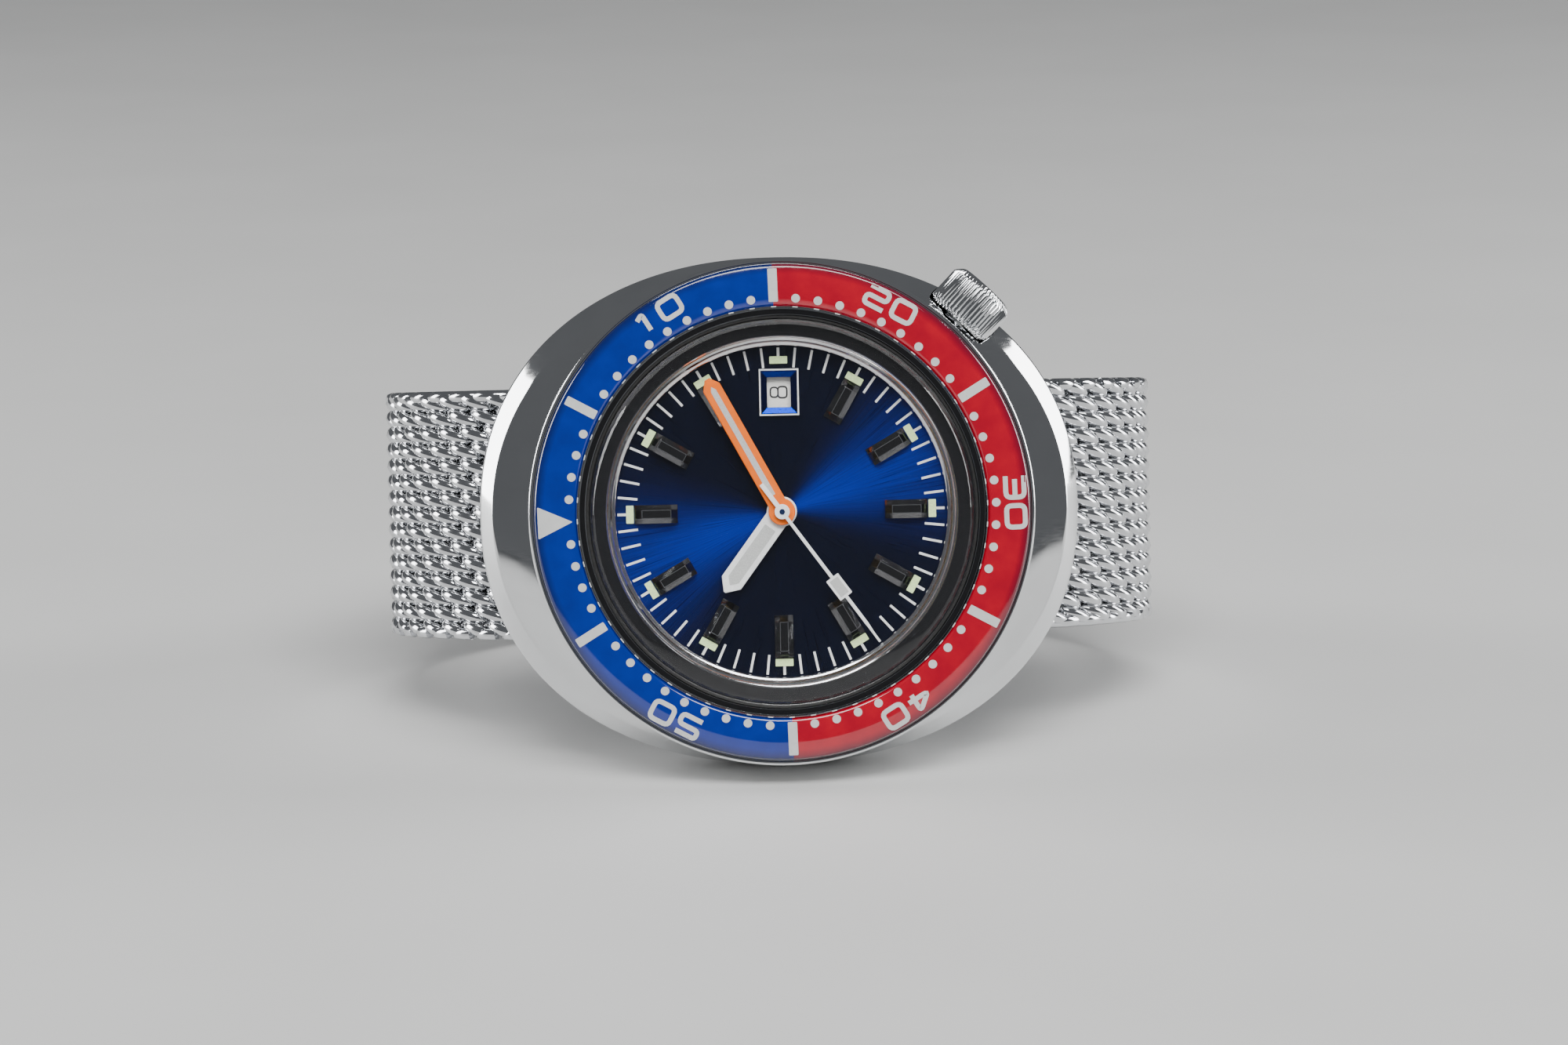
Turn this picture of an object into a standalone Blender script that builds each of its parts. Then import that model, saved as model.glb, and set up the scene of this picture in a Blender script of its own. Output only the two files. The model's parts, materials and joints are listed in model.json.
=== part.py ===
"""Dive watch with a turning bezel, an automatic movement and a steel mesh bracelet.

The watch is drawn lying on its back, in the watch frame: x towards 6 o'clock, y towards 3 o'clock
and z out of the dial, with z = 0 on the dial. An empty then stands it on its 9 o'clock flank,
leaning back on the closed clasp. Dimensions are in millimetres and angles in degrees.
"""

import math

import bmesh
import bpy
from mathutils import Matrix, Vector

MM = 0.001

# Case: outlines are superellipses, as (half length, half width, exponent, height)
CASE_BORE = 14.5
CASE_OUTLINES = (
    (20.6, 20.6, 2.0, 0.35),
    (22.6, 21.0, 2.05, 0.05),
    (24.8, 21.5, 2.15, -1.3),
    (26.0, 22.0, 2.2, -2.9),
    (26.0, 22.0, 2.2, -4.4),
    (25.2, 21.3, 2.2, -6.6),
    (22.6, 19.8, 2.2, -7.6),
)
CASE_BORE_STEPS = (
    (16.4, -7.6),
    (16.4, -6.9),
    (15.3, -6.9),
    (15.3, -4.9),
    (CASE_BORE, -4.9),
    (CASE_BORE, 0.1),
    (16.9, 0.1),
    (16.9, 3.6),
    (17.4, 3.6),
    (17.4, 0.35),
)
CASE_POINTS = 64
FLANK_HALF = 22.0
FLANK_LOW_Z = -4.4
LUG_SLOT_FROM = 17.9
LUG_SLOT_HALF = 11.4
LUG_SLOT_ROOF = -3.5

# Crown, at the dial angle of 4 to 5 o'clock
CROWN_ANGLE = 134.0
STEM_Z = -1.9
CROWN_FROM = 22.4
CROWN_TO = 26.35
CROWN_R = 3.1
CROWN_FLUTES = 24
CROWN_FLUTE_DEPTH = 0.18
CROWN_HOLLOW_R = 1.5
CROWN_HOLLOW_TO = 24.9
RECESS_R = 3.35
RECESS_FROM = 22.1
TUBE_R = 1.2
TUBE_BORE_R = 0.75
STEM_R = 0.5
STEM_FROM = 8.0

# Dial, hands and markers
DIAL_R = 14.35
DIAL_THICK = 0.4
DATE_Y = 10.25
DATE_HOLE = (2.05, 2.6)
DATE_FRAME = (3.4, 4.0)
MARKER_HOURS = (1, 2, 4, 5, 6, 7, 8, 9, 10, 11, 12)
MARKER_FROM = 8.92
MARKER_TO = 12.6
MARKER_HALF = 0.8
MARKER_HIGH = 0.85
HOUR_HAND_ANGLE = 306.5
MINUTE_HAND_ANGLE = 61.6
SECONDS_HAND_ANGLE = 234.0

# Movement: wheel places are (distance from the centre, direction from the x axis)
PLATE_R = 12.9
BARREL_AT = (7.6, 225.0)
THIRD_AT = (6.2, 100.0)
ESCAPE_AT = (6.6, 20.0)
BALANCE_AT = (7.6, -30.0)
BALANCE_R = 3.85
ARBOR_LOW = -4.1
ARBOR_HIGH = -2.65
FORK_FROM_ESCAPE = 2.7

# Bracelet: the middle of its thickness follows an ellipse behind the case
LOOP_HALF_LENGTH = 33.4
LOOP_HALF_DEPTH = 24.2
LOOP_CENTRE_Z = -25.4
BAND_HALF_WIDTH = 11.0
BAND_HALF_THICK = 1.6
BAND_SEGMENTS = 5
BAND_END_X = 11.2
SPRING_BAR_X = 20.4
SPRING_BAR_HALF = 12.9
SPRING_BAR_R = 0.75
PIVOT_GAP = 0.12
FLEX_LIMIT = 24.0

# Clasp: base plate by the wrist, folding blade, and cover outside
CLASP_BARREL_R = 0.8
HINGE_Z = -48.75
HINGE_X = 8.6
CLASP_HALF_LENGTH = 10.4
CLASP_HALF_WIDTH = 11.5
CLASP_OUT_Z = -50.9
COVER_THICK = 0.8

LEAN = math.atan2(FLANK_HALF - CLASP_HALF_WIDTH, FLANK_LOW_Z - CLASP_OUT_Z)

FINISHES = {
    "polished_steel": ((0.72, 0.73, 0.74), 0.12, 1.0),
    "brushed_steel": ((0.62, 0.63, 0.64), 0.32, 1.0),
    "black_steel": ((0.03, 0.03, 0.035), 0.15, 0.6),
    "bezel_blue": ((0.0, 0.045, 0.33), 0.08, 0.0),
    "dial_blue": ((0.005, 0.02, 0.12), 0.3, 0.3),
    "date_white": ((0.85, 0.85, 0.83), 0.4, 0.0),
    "hand_orange": ((1.0, 0.26, 0.02), 0.3, 0.0),
    "hand_white": ((0.85, 0.86, 0.86), 0.25, 0.0),
    "sapphire": ((0.9, 0.95, 1.0), 0.02, 0.0),
    "brass": ((0.75, 0.55, 0.22), 0.25, 1.0),
    "rubber": ((0.02, 0.02, 0.02), 0.7, 0.0),
}


def clear_scene():
    for old in list(bpy.data.objects):
        bpy.data.objects.remove(old)


def make_material(name):
    colour, roughness, metallic = FINISHES[name]
    finish = bpy.data.materials.new(name)
    finish.use_nodes = True
    shader = finish.node_tree.nodes["Principled BSDF"]
    shader.inputs["Base Color"].default_value = (*colour, 1.0)
    shader.inputs["Roughness"].default_value = roughness
    shader.inputs["Metallic"].default_value = metallic
    return finish


def add_empty(name, parent=None):
    empty = bpy.data.objects.new(name, None)
    bpy.context.scene.collection.objects.link(empty)
    empty.parent = parent
    return empty


clear_scene()
MATERIALS = {name: make_material(name) for name in FINISHES}
WATCH = add_empty("watch_frame")


# ---- shapes, in millimetres in the watch frame -------------------------------------------


def circle(radius, z, count):
    step = 2 * math.pi / count
    return [(radius * math.cos(i * step), radius * math.sin(i * step), z) for i in range(count)]


def superellipse(half_x, half_y, power, z, count):
    points = []
    for i in range(count):
        angle = 2 * math.pi * i / count
        cos, sin = math.cos(angle), math.sin(angle)
        x = math.copysign(half_x * abs(cos) ** (2 / power), cos)
        y = math.copysign(half_y * abs(sin) ** (2 / power), sin)
        points.append((x, y, z))
    return points


def toothed(tip, root, z, teeth):
    points = circle(1.0, z, 2 * teeth)
    radii = (tip, root)
    return [(x * radii[i % 2], y * radii[i % 2], z) for i, (x, y, _) in enumerate(points)]


def rectangle(half_x, half_y, z):
    return [(-half_x, -half_y, z), (half_x, -half_y, z), (half_x, half_y, z), (-half_x, half_y, z)]


def bridge(bm, first, second):
    """Joins two rings of vertices with faces, where either may be a single vertex."""
    count = max(len(first), len(second))
    for i in range(count):
        j = (i + 1) % count
        if len(first) == 1:
            bm.faces.new((first[0], second[i], second[j]))
        elif len(second) == 1:
            bm.faces.new((first[i], first[j], second[0]))
        else:
            bm.faces.new((first[i], first[j], second[j], second[i]))


def loft(loops, hollow=False):
    """A solid through loops of points: capped at both ends, or closed on itself if hollow."""
    bm = bmesh.new()
    rings = [[bm.verts.new(point) for point in loop] for loop in loops]
    for first, second in zip(rings, rings[1:]):
        bridge(bm, first, second)
    if hollow:
        bridge(bm, rings[-1], rings[0])
    else:
        for ring in (rings[0], rings[-1]):
            if len(ring) > 2:
                bm.faces.new(ring)
    bmesh.ops.recalc_face_normals(bm, faces=bm.faces)
    return bm


def turned(profile, count=40):
    """A turned solid: its profile of (radius, z) starts and ends on the axis, or rings it."""
    loops = [[(0, 0, z)] if radius == 0 else circle(radius, z, count) for radius, z in profile]
    return loft(loops, hollow=profile[0][0] > 0)


def tube(inner, outer, low, high, count=40):
    return turned([(outer, low), (outer, high), (inner, high), (inner, low)], count)


def rod(radius, low, high, count=24):
    return loft([circle(radius, low, count), circle(radius, high, count)])


def prism(outline, low, high):
    return loft([[(x, y, low) for x, y in outline], [(x, y, high) for x, y in outline]])


def box(centre, size):
    bm = bmesh.new()
    bmesh.ops.create_cube(bm, size=1.0)
    bmesh.ops.scale(bm, vec=size, verts=bm.verts)
    bmesh.ops.translate(bm, vec=centre, verts=bm.verts)
    return bm


def sector(profile, start, end, steps):
    """A closed profile of (radius, z) swept round the z axis between two angles."""
    loops = []
    for i in range(steps + 1):
        angle = math.radians(start + (end - start) * i / steps)
        loops.append([(r * math.cos(angle), r * math.sin(angle), z) for r, z in profile])
    return loft(loops)


def side_prism(outline, low_y, high_y):
    """An outline of (x, z) points, extruded along y."""
    return loft([[(x, low_y, z) for x, z in outline], [(x, high_y, z) for x, z in outline]])


def disc_outline(x, z, radius, count=20):
    return [(x + px * radius, z + pz * radius) for px, pz, _ in circle(1.0, 0, count)]


def moved(bm, matrix):
    bm.transform(matrix)
    return bm


def polar(distance, degrees, z=0.0):
    angle = math.radians(degrees)
    return Vector((distance * math.cos(angle), distance * math.sin(angle), z))


def at_dial(distance, dial_angle, z=0.0):
    """A point at a clockwise dial angle, with 12 o'clock on -x."""
    return polar(distance, 180 - dial_angle, z)


# ---- objects ------------------------------------------------------------------------------


def add_part(name, bm, finish, origin=(0, 0, 0)):
    """Makes an object of a shape, with the object's own origin at the given place."""
    origin = Vector(origin)
    bmesh.ops.translate(bm, vec=-origin, verts=bm.verts)
    bmesh.ops.scale(bm, vec=(MM, MM, MM), verts=bm.verts)
    mesh = bpy.data.meshes.new(name)
    bm.to_mesh(mesh)
    bm.free()
    mesh.shade_smooth()
    mesh.set_sharp_from_angle(angle=math.radians(30))
    mesh.materials.append(MATERIALS[finish])
    part = bpy.data.objects.new(name, mesh)
    bpy.context.scene.collection.objects.link(part)
    part.parent = WATCH
    part.location = origin * MM
    return part


def combine(part, bm, operation):
    """Adds or cuts a shape in watch-frame millimetres with a Boolean modifier."""
    name = f"{part.name}_{operation.lower()}_{len(part.modifiers)}"
    tool = add_part(name, bm, "polished_steel")
    tool.hide_render = True
    tool.display_type = "WIRE"
    step = part.modifiers.new(name, "BOOLEAN")
    step.operation = operation
    step.object = tool


def cut(part, bm):
    combine(part, bm, "DIFFERENCE")


def unite(part, bm):
    combine(part, bm, "UNION")


# ---- case, bezel and crystal --------------------------------------------------------------


def crown_axis_matrix():
    """Lays a shape drawn along z along the crown's axis, with its x side up."""
    direction = at_dial(1.0, CROWN_ANGLE)
    up = Vector((0, 0, 1))
    turn = Matrix((up, direction.cross(up), direction)).transposed().to_4x4()
    return Matrix.Translation((0, 0, STEM_Z)) @ turn


def along_crown(bm):
    return moved(bm, crown_axis_matrix())


def make_mid_case():
    loops = [superellipse(*outline, CASE_POINTS) for outline in CASE_OUTLINES]
    loops += [circle(radius, z, CASE_POINTS) for radius, z in CASE_BORE_STEPS]
    case = add_part("mid_case", loft(loops, hollow=True), "polished_steel")
    for side in (-1, 1):
        depth = 2 * abs(LUG_SLOT_ROOF)
        centre = (side * (LUG_SLOT_FROM + 6), 0, LUG_SLOT_ROOF - depth / 2)
        cut(case, box(centre, (12, 2 * LUG_SLOT_HALF, depth)))
        pin_hole = disc_outline(side * SPRING_BAR_X, spring_bar_z(), SPRING_BAR_R + 0.1)
        cut(case, side_prism(pin_hole, -SPRING_BAR_HALF - 0.1, SPRING_BAR_HALF + 0.1))
    cut(case, along_crown(rod(TUBE_R + 0.05, CASE_BORE - 1, RECESS_FROM + 1)))
    cut(case, along_crown(rod(RECESS_R, RECESS_FROM, RECESS_FROM + 6)))


def make_case_back():
    profile = [(0, -8.8), (16.5, -8.8), (17.2, -8.3), (17.2, -7.72), (15.1, -7.72)]
    profile += [(15.1, -6.4), (14.4, -6.4), (14.4, -7.4), (0, -7.4)]
    add_part("case_back", turned(profile), "brushed_steel")
    add_part("case_back_gasket", tube(15.4, 16.3, -7.6, -7.0), "rubber")


def make_crystal():
    profile = [(0, 2.2), (16.5, 2.2), (16.5, 4.0), (16.0, 4.5), (8.0, 4.58), (0, 4.6)]
    add_part("crystal", turned(profile), "sapphire")
    add_part("crystal_gasket", tube(16.57, 16.83, 2.2, 3.5), "rubber")
    profile = [(14.1, 0.1), (16.7, 0.1), (16.7, 2.1), (15.0, 2.1), (14.8, 1.2), (14.1, 0.7)]
    rehaut = add_part("rehaut_ring", turned(profile), "black_steel")
    rehaut.location.z += 0.06 * MM


def make_bezel():
    """Coin-edged ring, its glossy insert and the flat click spring under it."""
    teeth = 52
    count = 2 * teeth
    loops = [circle(17.6, 0.65, count), circle(21.2, 0.65, count)]
    loops += [toothed(21.75, 21.45, z, teeth) for z in (1.0, 3.0)]
    loops += [circle(21.4, 3.3, count), circle(21.4, 2.75, count), circle(17.6, 2.75, count)]
    add_part("bezel_ring", loft(loops, hollow=True), "polished_steel")
    profile = [(17.65, 2.85), (21.3, 2.85), (21.3, 3.35), (20.9, 3.8), (17.9, 3.95), (17.65, 3.75)]
    add_part("bezel_insert", turned(profile, 60), "bezel_blue")
    add_part("bezel_click_spring", tube(18.2, 20.0, 0.43, 0.57), "brushed_steel")


def make_crown():
    """Fluted screw-down crown, its tube in the case, the stem and the lever that moves it."""
    count = 2 * CROWN_FLUTES
    root = CROWN_R - CROWN_FLUTE_DEPTH
    loops = [circle(CROWN_HOLLOW_R, CROWN_FROM, count), circle(root, CROWN_FROM, count)]
    loops += [toothed(CROWN_R, root, z, CROWN_FLUTES) for z in (CROWN_FROM + 0.3, CROWN_TO - 0.5)]
    loops += [circle(root - 0.1, CROWN_TO - 0.2, count), [(0, 0, CROWN_TO)]]
    loops = [[(0, 0, CROWN_HOLLOW_TO)], circle(CROWN_HOLLOW_R, CROWN_HOLLOW_TO, count)] + loops
    pivot = crown_axis_matrix() @ Vector((0, 0, CROWN_FROM))
    add_part("crown", along_crown(loft(loops)), "polished_steel", pivot)
    stem = along_crown(rod(STEM_R, STEM_FROM, CROWN_HOLLOW_TO - 0.05))
    add_part("winding_stem", stem, "brushed_steel", pivot)
    crown_tube = tube(TUBE_BORE_R, TUBE_R, CASE_BORE + 0.5, CROWN_HOLLOW_TO - 0.3, 24)
    add_part("crown_tube", along_crown(crown_tube), "brushed_steel")
    lever = box((0, 0, 8.5), (0.3, 2.0, 1.0))
    lever_height = Matrix.Translation((0, 0, STEM_R + 0.2))
    add_part("setting_lever", moved(along_crown(lever), lever_height), "brushed_steel")


# ---- dial and hands -----------------------------------------------------------------------


def make_dial():
    dial = add_part("dial", rod(DIAL_R, -DIAL_THICK, 0, 72), "dial_blue")
    cut(dial, rod(1.0, -1, 1))
    cut(dial, box((0, DATE_Y, 0), (*DATE_HOLE, 2)))
    loops = []
    for (size_x, size_y), z in (
        (DATE_FRAME, 0.06),
        (DATE_FRAME, 0.3),
        (DATE_HOLE, 0.3),
        (DATE_HOLE, 0.06),
    ):
        loops.append([(x, y + DATE_Y, z) for x, y, z in rectangle(size_x / 2, size_y / 2, z)])
    add_part("date_frame", loft(loops, hollow=True), "hand_white")
    add_part("date_disc", tube(8.3, 12.4, -0.85, -0.55), "date_white")


def make_markers():
    middle = (MARKER_FROM + MARKER_TO) / 2
    half = (MARKER_TO - MARKER_FROM) / 2
    for hour in MARKER_HOURS:
        loops = [rectangle(half, MARKER_HALF, 0.06), rectangle(half, MARKER_HALF, 0.3)]
        loops += [rectangle(half - 0.6, MARKER_HALF - 0.25, MARKER_HIGH)]
        place = Matrix.Rotation(math.radians(180 - 30 * hour), 4, "Z")
        marker = moved(loft(loops), place @ Matrix.Translation((middle, 0, 0)))
        add_part(f"hour_marker_{hour:02d}", marker, "black_steel")


def hand_outline(hub, half, shoulder, tip, tip_half):
    """A round hub at the origin and a straight blade along +x with a tapered tip."""
    start = math.asin(half / hub)
    sweep = 2 * math.pi - 2 * start
    arc = [start + sweep * i / 16 for i in range(17)]
    points = [(hub * math.cos(angle), hub * math.sin(angle)) for angle in arc]
    return points + [(shoulder, -half), (tip, -tip_half), (tip, tip_half), (shoulder, half)]


def add_hand(name, outline, low, high, bore, dial_angle, finish):
    place = Matrix.Rotation(math.radians(180 - dial_angle), 4, "Z")
    hand = add_part(name, moved(prism(outline, low, high), place), finish)
    cut(hand, rod(bore, low - 1, high + 1))
    return place, hand


def make_hands():
    outline = hand_outline(1.15, 1.0, 7.5, 8.5, 0.12)
    add_hand("hour_hand", outline, 0.72, 0.95, 0.85, HOUR_HAND_ANGLE, "hand_white")
    outline = hand_outline(1.05, 0.8, 12.25, 13.0, 0.3)
    add_hand("minute_hand", outline, 1.15, 1.38, 0.5, MINUTE_HAND_ANGLE, "hand_orange")
    outline = hand_outline(0.65, 0.15, 12.0, 13.2, 0.08)
    place, hand = add_hand("seconds_hand", outline, 1.55, 1.75, 0.2, SECONDS_HAND_ANGLE, "hand_white")
    unite(hand, moved(box((8.1, 0, 1.65), (2.05, 1.26, 0.2)), place))
    unite(hand, moved(box((-1.75, 0, 1.65), (2.4, 0.4, 0.2)), place))


# ---- movement -----------------------------------------------------------------------------


def add_wheel(name, place, teeth, radius, low, high, arbor_r, arbor_low, arbor_high, finish="brass"):
    """A toothed wheel on its own arbor."""
    count = 2 * teeth
    root = radius - 0.25
    loops = [circle(arbor_r, arbor_low, count), circle(arbor_r, low, count)]
    loops += [toothed(radius, root, low, teeth), toothed(radius, root, high, teeth)]
    loops += [circle(arbor_r, high, count), circle(arbor_r, arbor_high, count)]
    wheel = moved(loft(loops), Matrix.Translation(place))
    return add_part(name, wheel, finish, place)


def add_pipe_wheel(name, teeth, radius, low, high, bore, outer, pipe_low, pipe_high):
    """A toothed wheel on a pipe round the centre of the movement."""
    count = 2 * teeth
    root = radius - 0.25
    loops = [circle(outer, pipe_low, count), circle(outer, low, count)]
    loops += [toothed(radius, root, low, teeth), toothed(radius, root, high, teeth)]
    loops += [circle(outer, high, count), circle(outer, pipe_high, count)]
    loops += [circle(bore, pipe_high, count), circle(bore, pipe_low, count)]
    add_part(name, loft(loops, hollow=True), "brass")


def make_centre_stack():
    add_pipe_wheel("hour_wheel", 16, 2.6, -0.85, -0.6, 0.55, 0.8, -0.9, 0.93)
    add_pipe_wheel("centre_wheel", 16, 3.4, -3.3, -3.1, 0.25, 0.45, -3.5, 1.36)
    add_wheel("seconds_wheel", (0, 0, 0), 16, 3.0, -3.9, -3.7, 0.15, ARBOR_LOW, 1.8)


def make_train():
    span = (ARBOR_LOW, ARBOR_HIGH)
    add_wheel("barrel", polar(*BARREL_AT), 20, 3.9, -3.95, -2.8, 0.9, *span)
    add_wheel("third_wheel", polar(*THIRD_AT), 16, 2.5, -3.6, -3.4, 0.3, *span)
    add_wheel("escape_wheel", polar(*ESCAPE_AT), 15, 1.9, -3.9, -3.75, 0.2, *span, "brushed_steel")


def make_balance():
    """Balance wheel with a rim, four arms and a staff, and the pallet fork beside it."""
    centre = polar(*BALANCE_AT)
    at_centre = Matrix.Translation(centre)
    rim = tube(BALANCE_R - 0.45, BALANCE_R, -3.3, -3.0, 36)
    balance = add_part("balance_wheel", moved(rim, at_centre), "brass", centre)
    arm = 2 * BALANCE_R - 0.6
    for size in ((arm, 0.5, 0.2), (0.5, arm, 0.2)):
        unite(balance, box(centre + Vector((0, 0, -3.15)), size))
    unite(balance, moved(rod(0.35, ARBOR_LOW, ARBOR_HIGH, 16), at_centre))
    escape = polar(*ESCAPE_AT)
    towards = (centre - escape).normalized()
    pivot = escape + towards * FORK_FROM_ESCAPE
    reach = (centre - pivot).length - 0.7
    lever = [(-0.35, -1.35), (0.25, -1.35), (0.3, -0.15), (reach, -0.1)]
    outline = lever + [(x, -y) for x, y in reversed(lever)]
    angle = math.atan2(towards.y, towards.x)
    place = Matrix.Translation(pivot) @ Matrix.Rotation(angle, 4, "Z")
    add_part("pallet_fork", moved(prism(outline, -3.9, -3.7), place), "brushed_steel", pivot)


def foot_profile(inner):
    return [(inner, -4.15), (11.7, -4.15), (11.7, -2.7), (12.4, -2.7), (12.4, -4.85), (inner, -4.85)]


def make_plates():
    plate = add_part("main_plate", tube(0.95, PLATE_R, -2.6, -1.0), "brass")
    cut(plate, along_crown(rod(STEM_R + 0.15, 7.0, PLATE_R + 1)))
    pocket = moved(along_crown(box((0, 0, 10.4), (0.8, 2.4, 5.4))), Matrix.Translation((0, 0, 0.75)))
    cut(plate, pocket)
    ring = add_part("movement_ring", tube(12.97, 14.38, -4.8, -0.5), "brushed_steel")
    cut(ring, along_crown(rod(STEM_R + 0.15, PLATE_R - 1, CASE_BORE + 1)))
    add_part("train_bridge", sector(foot_profile(0.6), 2, 296, 30), "brushed_steel")
    add_part("balance_cock", sector(foot_profile(3.0), -60, 0, 8), "brushed_steel")


def make_rotor():
    add_part("rotor_bearing", tube(0.7, 1.4, -5.8, -4.9, 24), "polished_steel")
    hub = tube(1.5, 2.6, -5.5, -5.2, 24)
    rotor = add_part("rotor", hub, "brushed_steel")
    unite(rotor, sector([(2.3, -5.5), (9.8, -5.5), (9.8, -5.2), (2.3, -5.2)], -92, 92, 16))
    unite(rotor, sector([(9.6, -6.1), (12.5, -6.1), (12.5, -5.2), (9.6, -5.2)], -92, 92, 16))


# ---- bracelet and clasp -------------------------------------------------------------------


def loop_point(t, offset=0.0):
    """(x, z) on the bracelet's middle line at ellipse angle t, moved outwards by the offset."""
    normal = Vector((LOOP_HALF_DEPTH * math.cos(t), LOOP_HALF_LENGTH * math.sin(t))).normalized()
    x = LOOP_HALF_LENGTH * math.cos(t) + normal.x * offset
    return x, LOOP_CENTRE_Z + LOOP_HALF_DEPTH * math.sin(t) + normal.y * offset


def loop_speed(t):
    return math.hypot(LOOP_HALF_LENGTH * math.sin(t), LOOP_HALF_DEPTH * math.cos(t))


def spring_bar_angle():
    return math.acos(SPRING_BAR_X / LOOP_HALF_LENGTH)


def spring_bar_z():
    return loop_point(spring_bar_angle())[1]


def segment_angles():
    """Ellipse angles of the joints, from the spring bar to the clasp."""
    start = spring_bar_angle()
    end = -math.acos(BAND_END_X / LOOP_HALF_LENGTH)
    return [start + (end - start) * i / BAND_SEGMENTS for i in range(BAND_SEGMENTS + 1)]


def segment_outline(first, last, index, end_gap):
    """(x, z) outline of one rigid length of mesh, its outer corners drawn back so it can flex."""
    wedge = BAND_HALF_THICK * math.tan(math.radians(FLEX_LIMIT)) / 2
    start = first - PIVOT_GAP / loop_speed(first)
    end = last + end_gap / loop_speed(last)
    inner_ends = (start, end)
    outer_ends = (start - wedge / loop_speed(first), end + wedge / loop_speed(last))
    steps = 4
    outer = [outer_ends[0] + (outer_ends[1] - outer_ends[0]) * i / steps for i in range(steps + 1)]
    inner = [inner_ends[0] + (inner_ends[1] - inner_ends[0]) * i / steps for i in range(steps + 1)]
    points = [loop_point(t, BAND_HALF_THICK) for t in outer]
    if index < BAND_SEGMENTS:
        points.append(loop_point(inner_ends[1]))
    points += [loop_point(t, -BAND_HALF_THICK) for t in reversed(inner)]
    if index > 1:
        points.append(loop_point(inner_ends[0]))
    return points


def convex(points):
    """The convex outline round some (x, z) points."""
    middle = sum((Vector(point) for point in points), Vector((0, 0))) / len(points)
    bm = bmesh.new()
    for x, z in points:
        bm.verts.new((x, z, 0))
    hull = bmesh.ops.convex_hull(bm, input=bm.verts)["geom"]
    kept = [item.co.xy for item in hull if isinstance(item, bmesh.types.BMVert) and item.link_edges]
    return sorted(((p.x, p.y) for p in kept), key=lambda p: math.atan2(p[1] - middle.y, p[0] - middle.x))


def mirrored(outline, side):
    return [(side * x, z) for x, z in outline]


def make_band(side, hour):
    """One half of the bracelet: five lengths, the first round the spring bar."""
    angles = segment_angles()
    for index in range(1, BAND_SEGMENTS + 1):
        first, last = angles[index - 1], angles[index]
        end_gap = CLASP_BARREL_R + 0.15 if (side, index) == (1, BAND_SEGMENTS) else PIVOT_GAP
        outline = mirrored(segment_outline(first, last, index, end_gap), side)
        x, z = loop_point(first)
        shape = side_prism(outline, -BAND_HALF_WIDTH, BAND_HALF_WIDTH)
        length = add_part(f"band_{hour}_{index}", shape, "polished_steel", (side * x, 0, z))
        if index == 1:
            eye = disc_outline(side * x, z, BAND_HALF_THICK)
            unite(length, side_prism(eye, -BAND_HALF_WIDTH, BAND_HALF_WIDTH))
            bore = disc_outline(side * x, z, SPRING_BAR_R + 0.1)
            cut(length, side_prism(bore, -BAND_HALF_WIDTH - 1, BAND_HALF_WIDTH + 1))
    if side > 0:
        hinge = loop_point(angles[-1])
        arm = disc_outline(*hinge, CLASP_BARREL_R) + [loop_point(angles[-1] + 0.06)]
        add_ears(length, disc_outline(*hinge, 0.5), convex(arm), 9.4, 10.6)
    section = disc_outline(side * SPRING_BAR_X, spring_bar_z(), SPRING_BAR_R)
    bar = side_prism(section, -SPRING_BAR_HALF, SPRING_BAR_HALF)
    add_part(f"spring_bar_{hour}", bar, "brushed_steel")


def add_ears(part, outline_for_bore, outline, inner, outer):
    """Two ears, mirrored in y, with a bore through both."""
    for side in (-1, 1):
        unite(part, side_prism(outline, side * inner, side * outer))
    cut(part, side_prism(outline_for_bore, -outer - 1, outer + 1))


def ear_outline(x, z, attach_z, half):
    """An ear from a plate at attach_z to a round end about the hinge at (x, z)."""
    away = math.copysign(1.0, z - attach_z)
    arc = [math.pi * i / 8 for i in range(9)]
    points = [(x + half * math.cos(angle), z + away * half * math.sin(angle)) for angle in arc]
    return points + [(x - half, attach_z), (x + half, attach_z)]


def plate_outline(x_low, x_high, z_low, z_high):
    return [(x_low, z_low), (x_high, z_low), (x_high, z_high), (x_low, z_high)]


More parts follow.
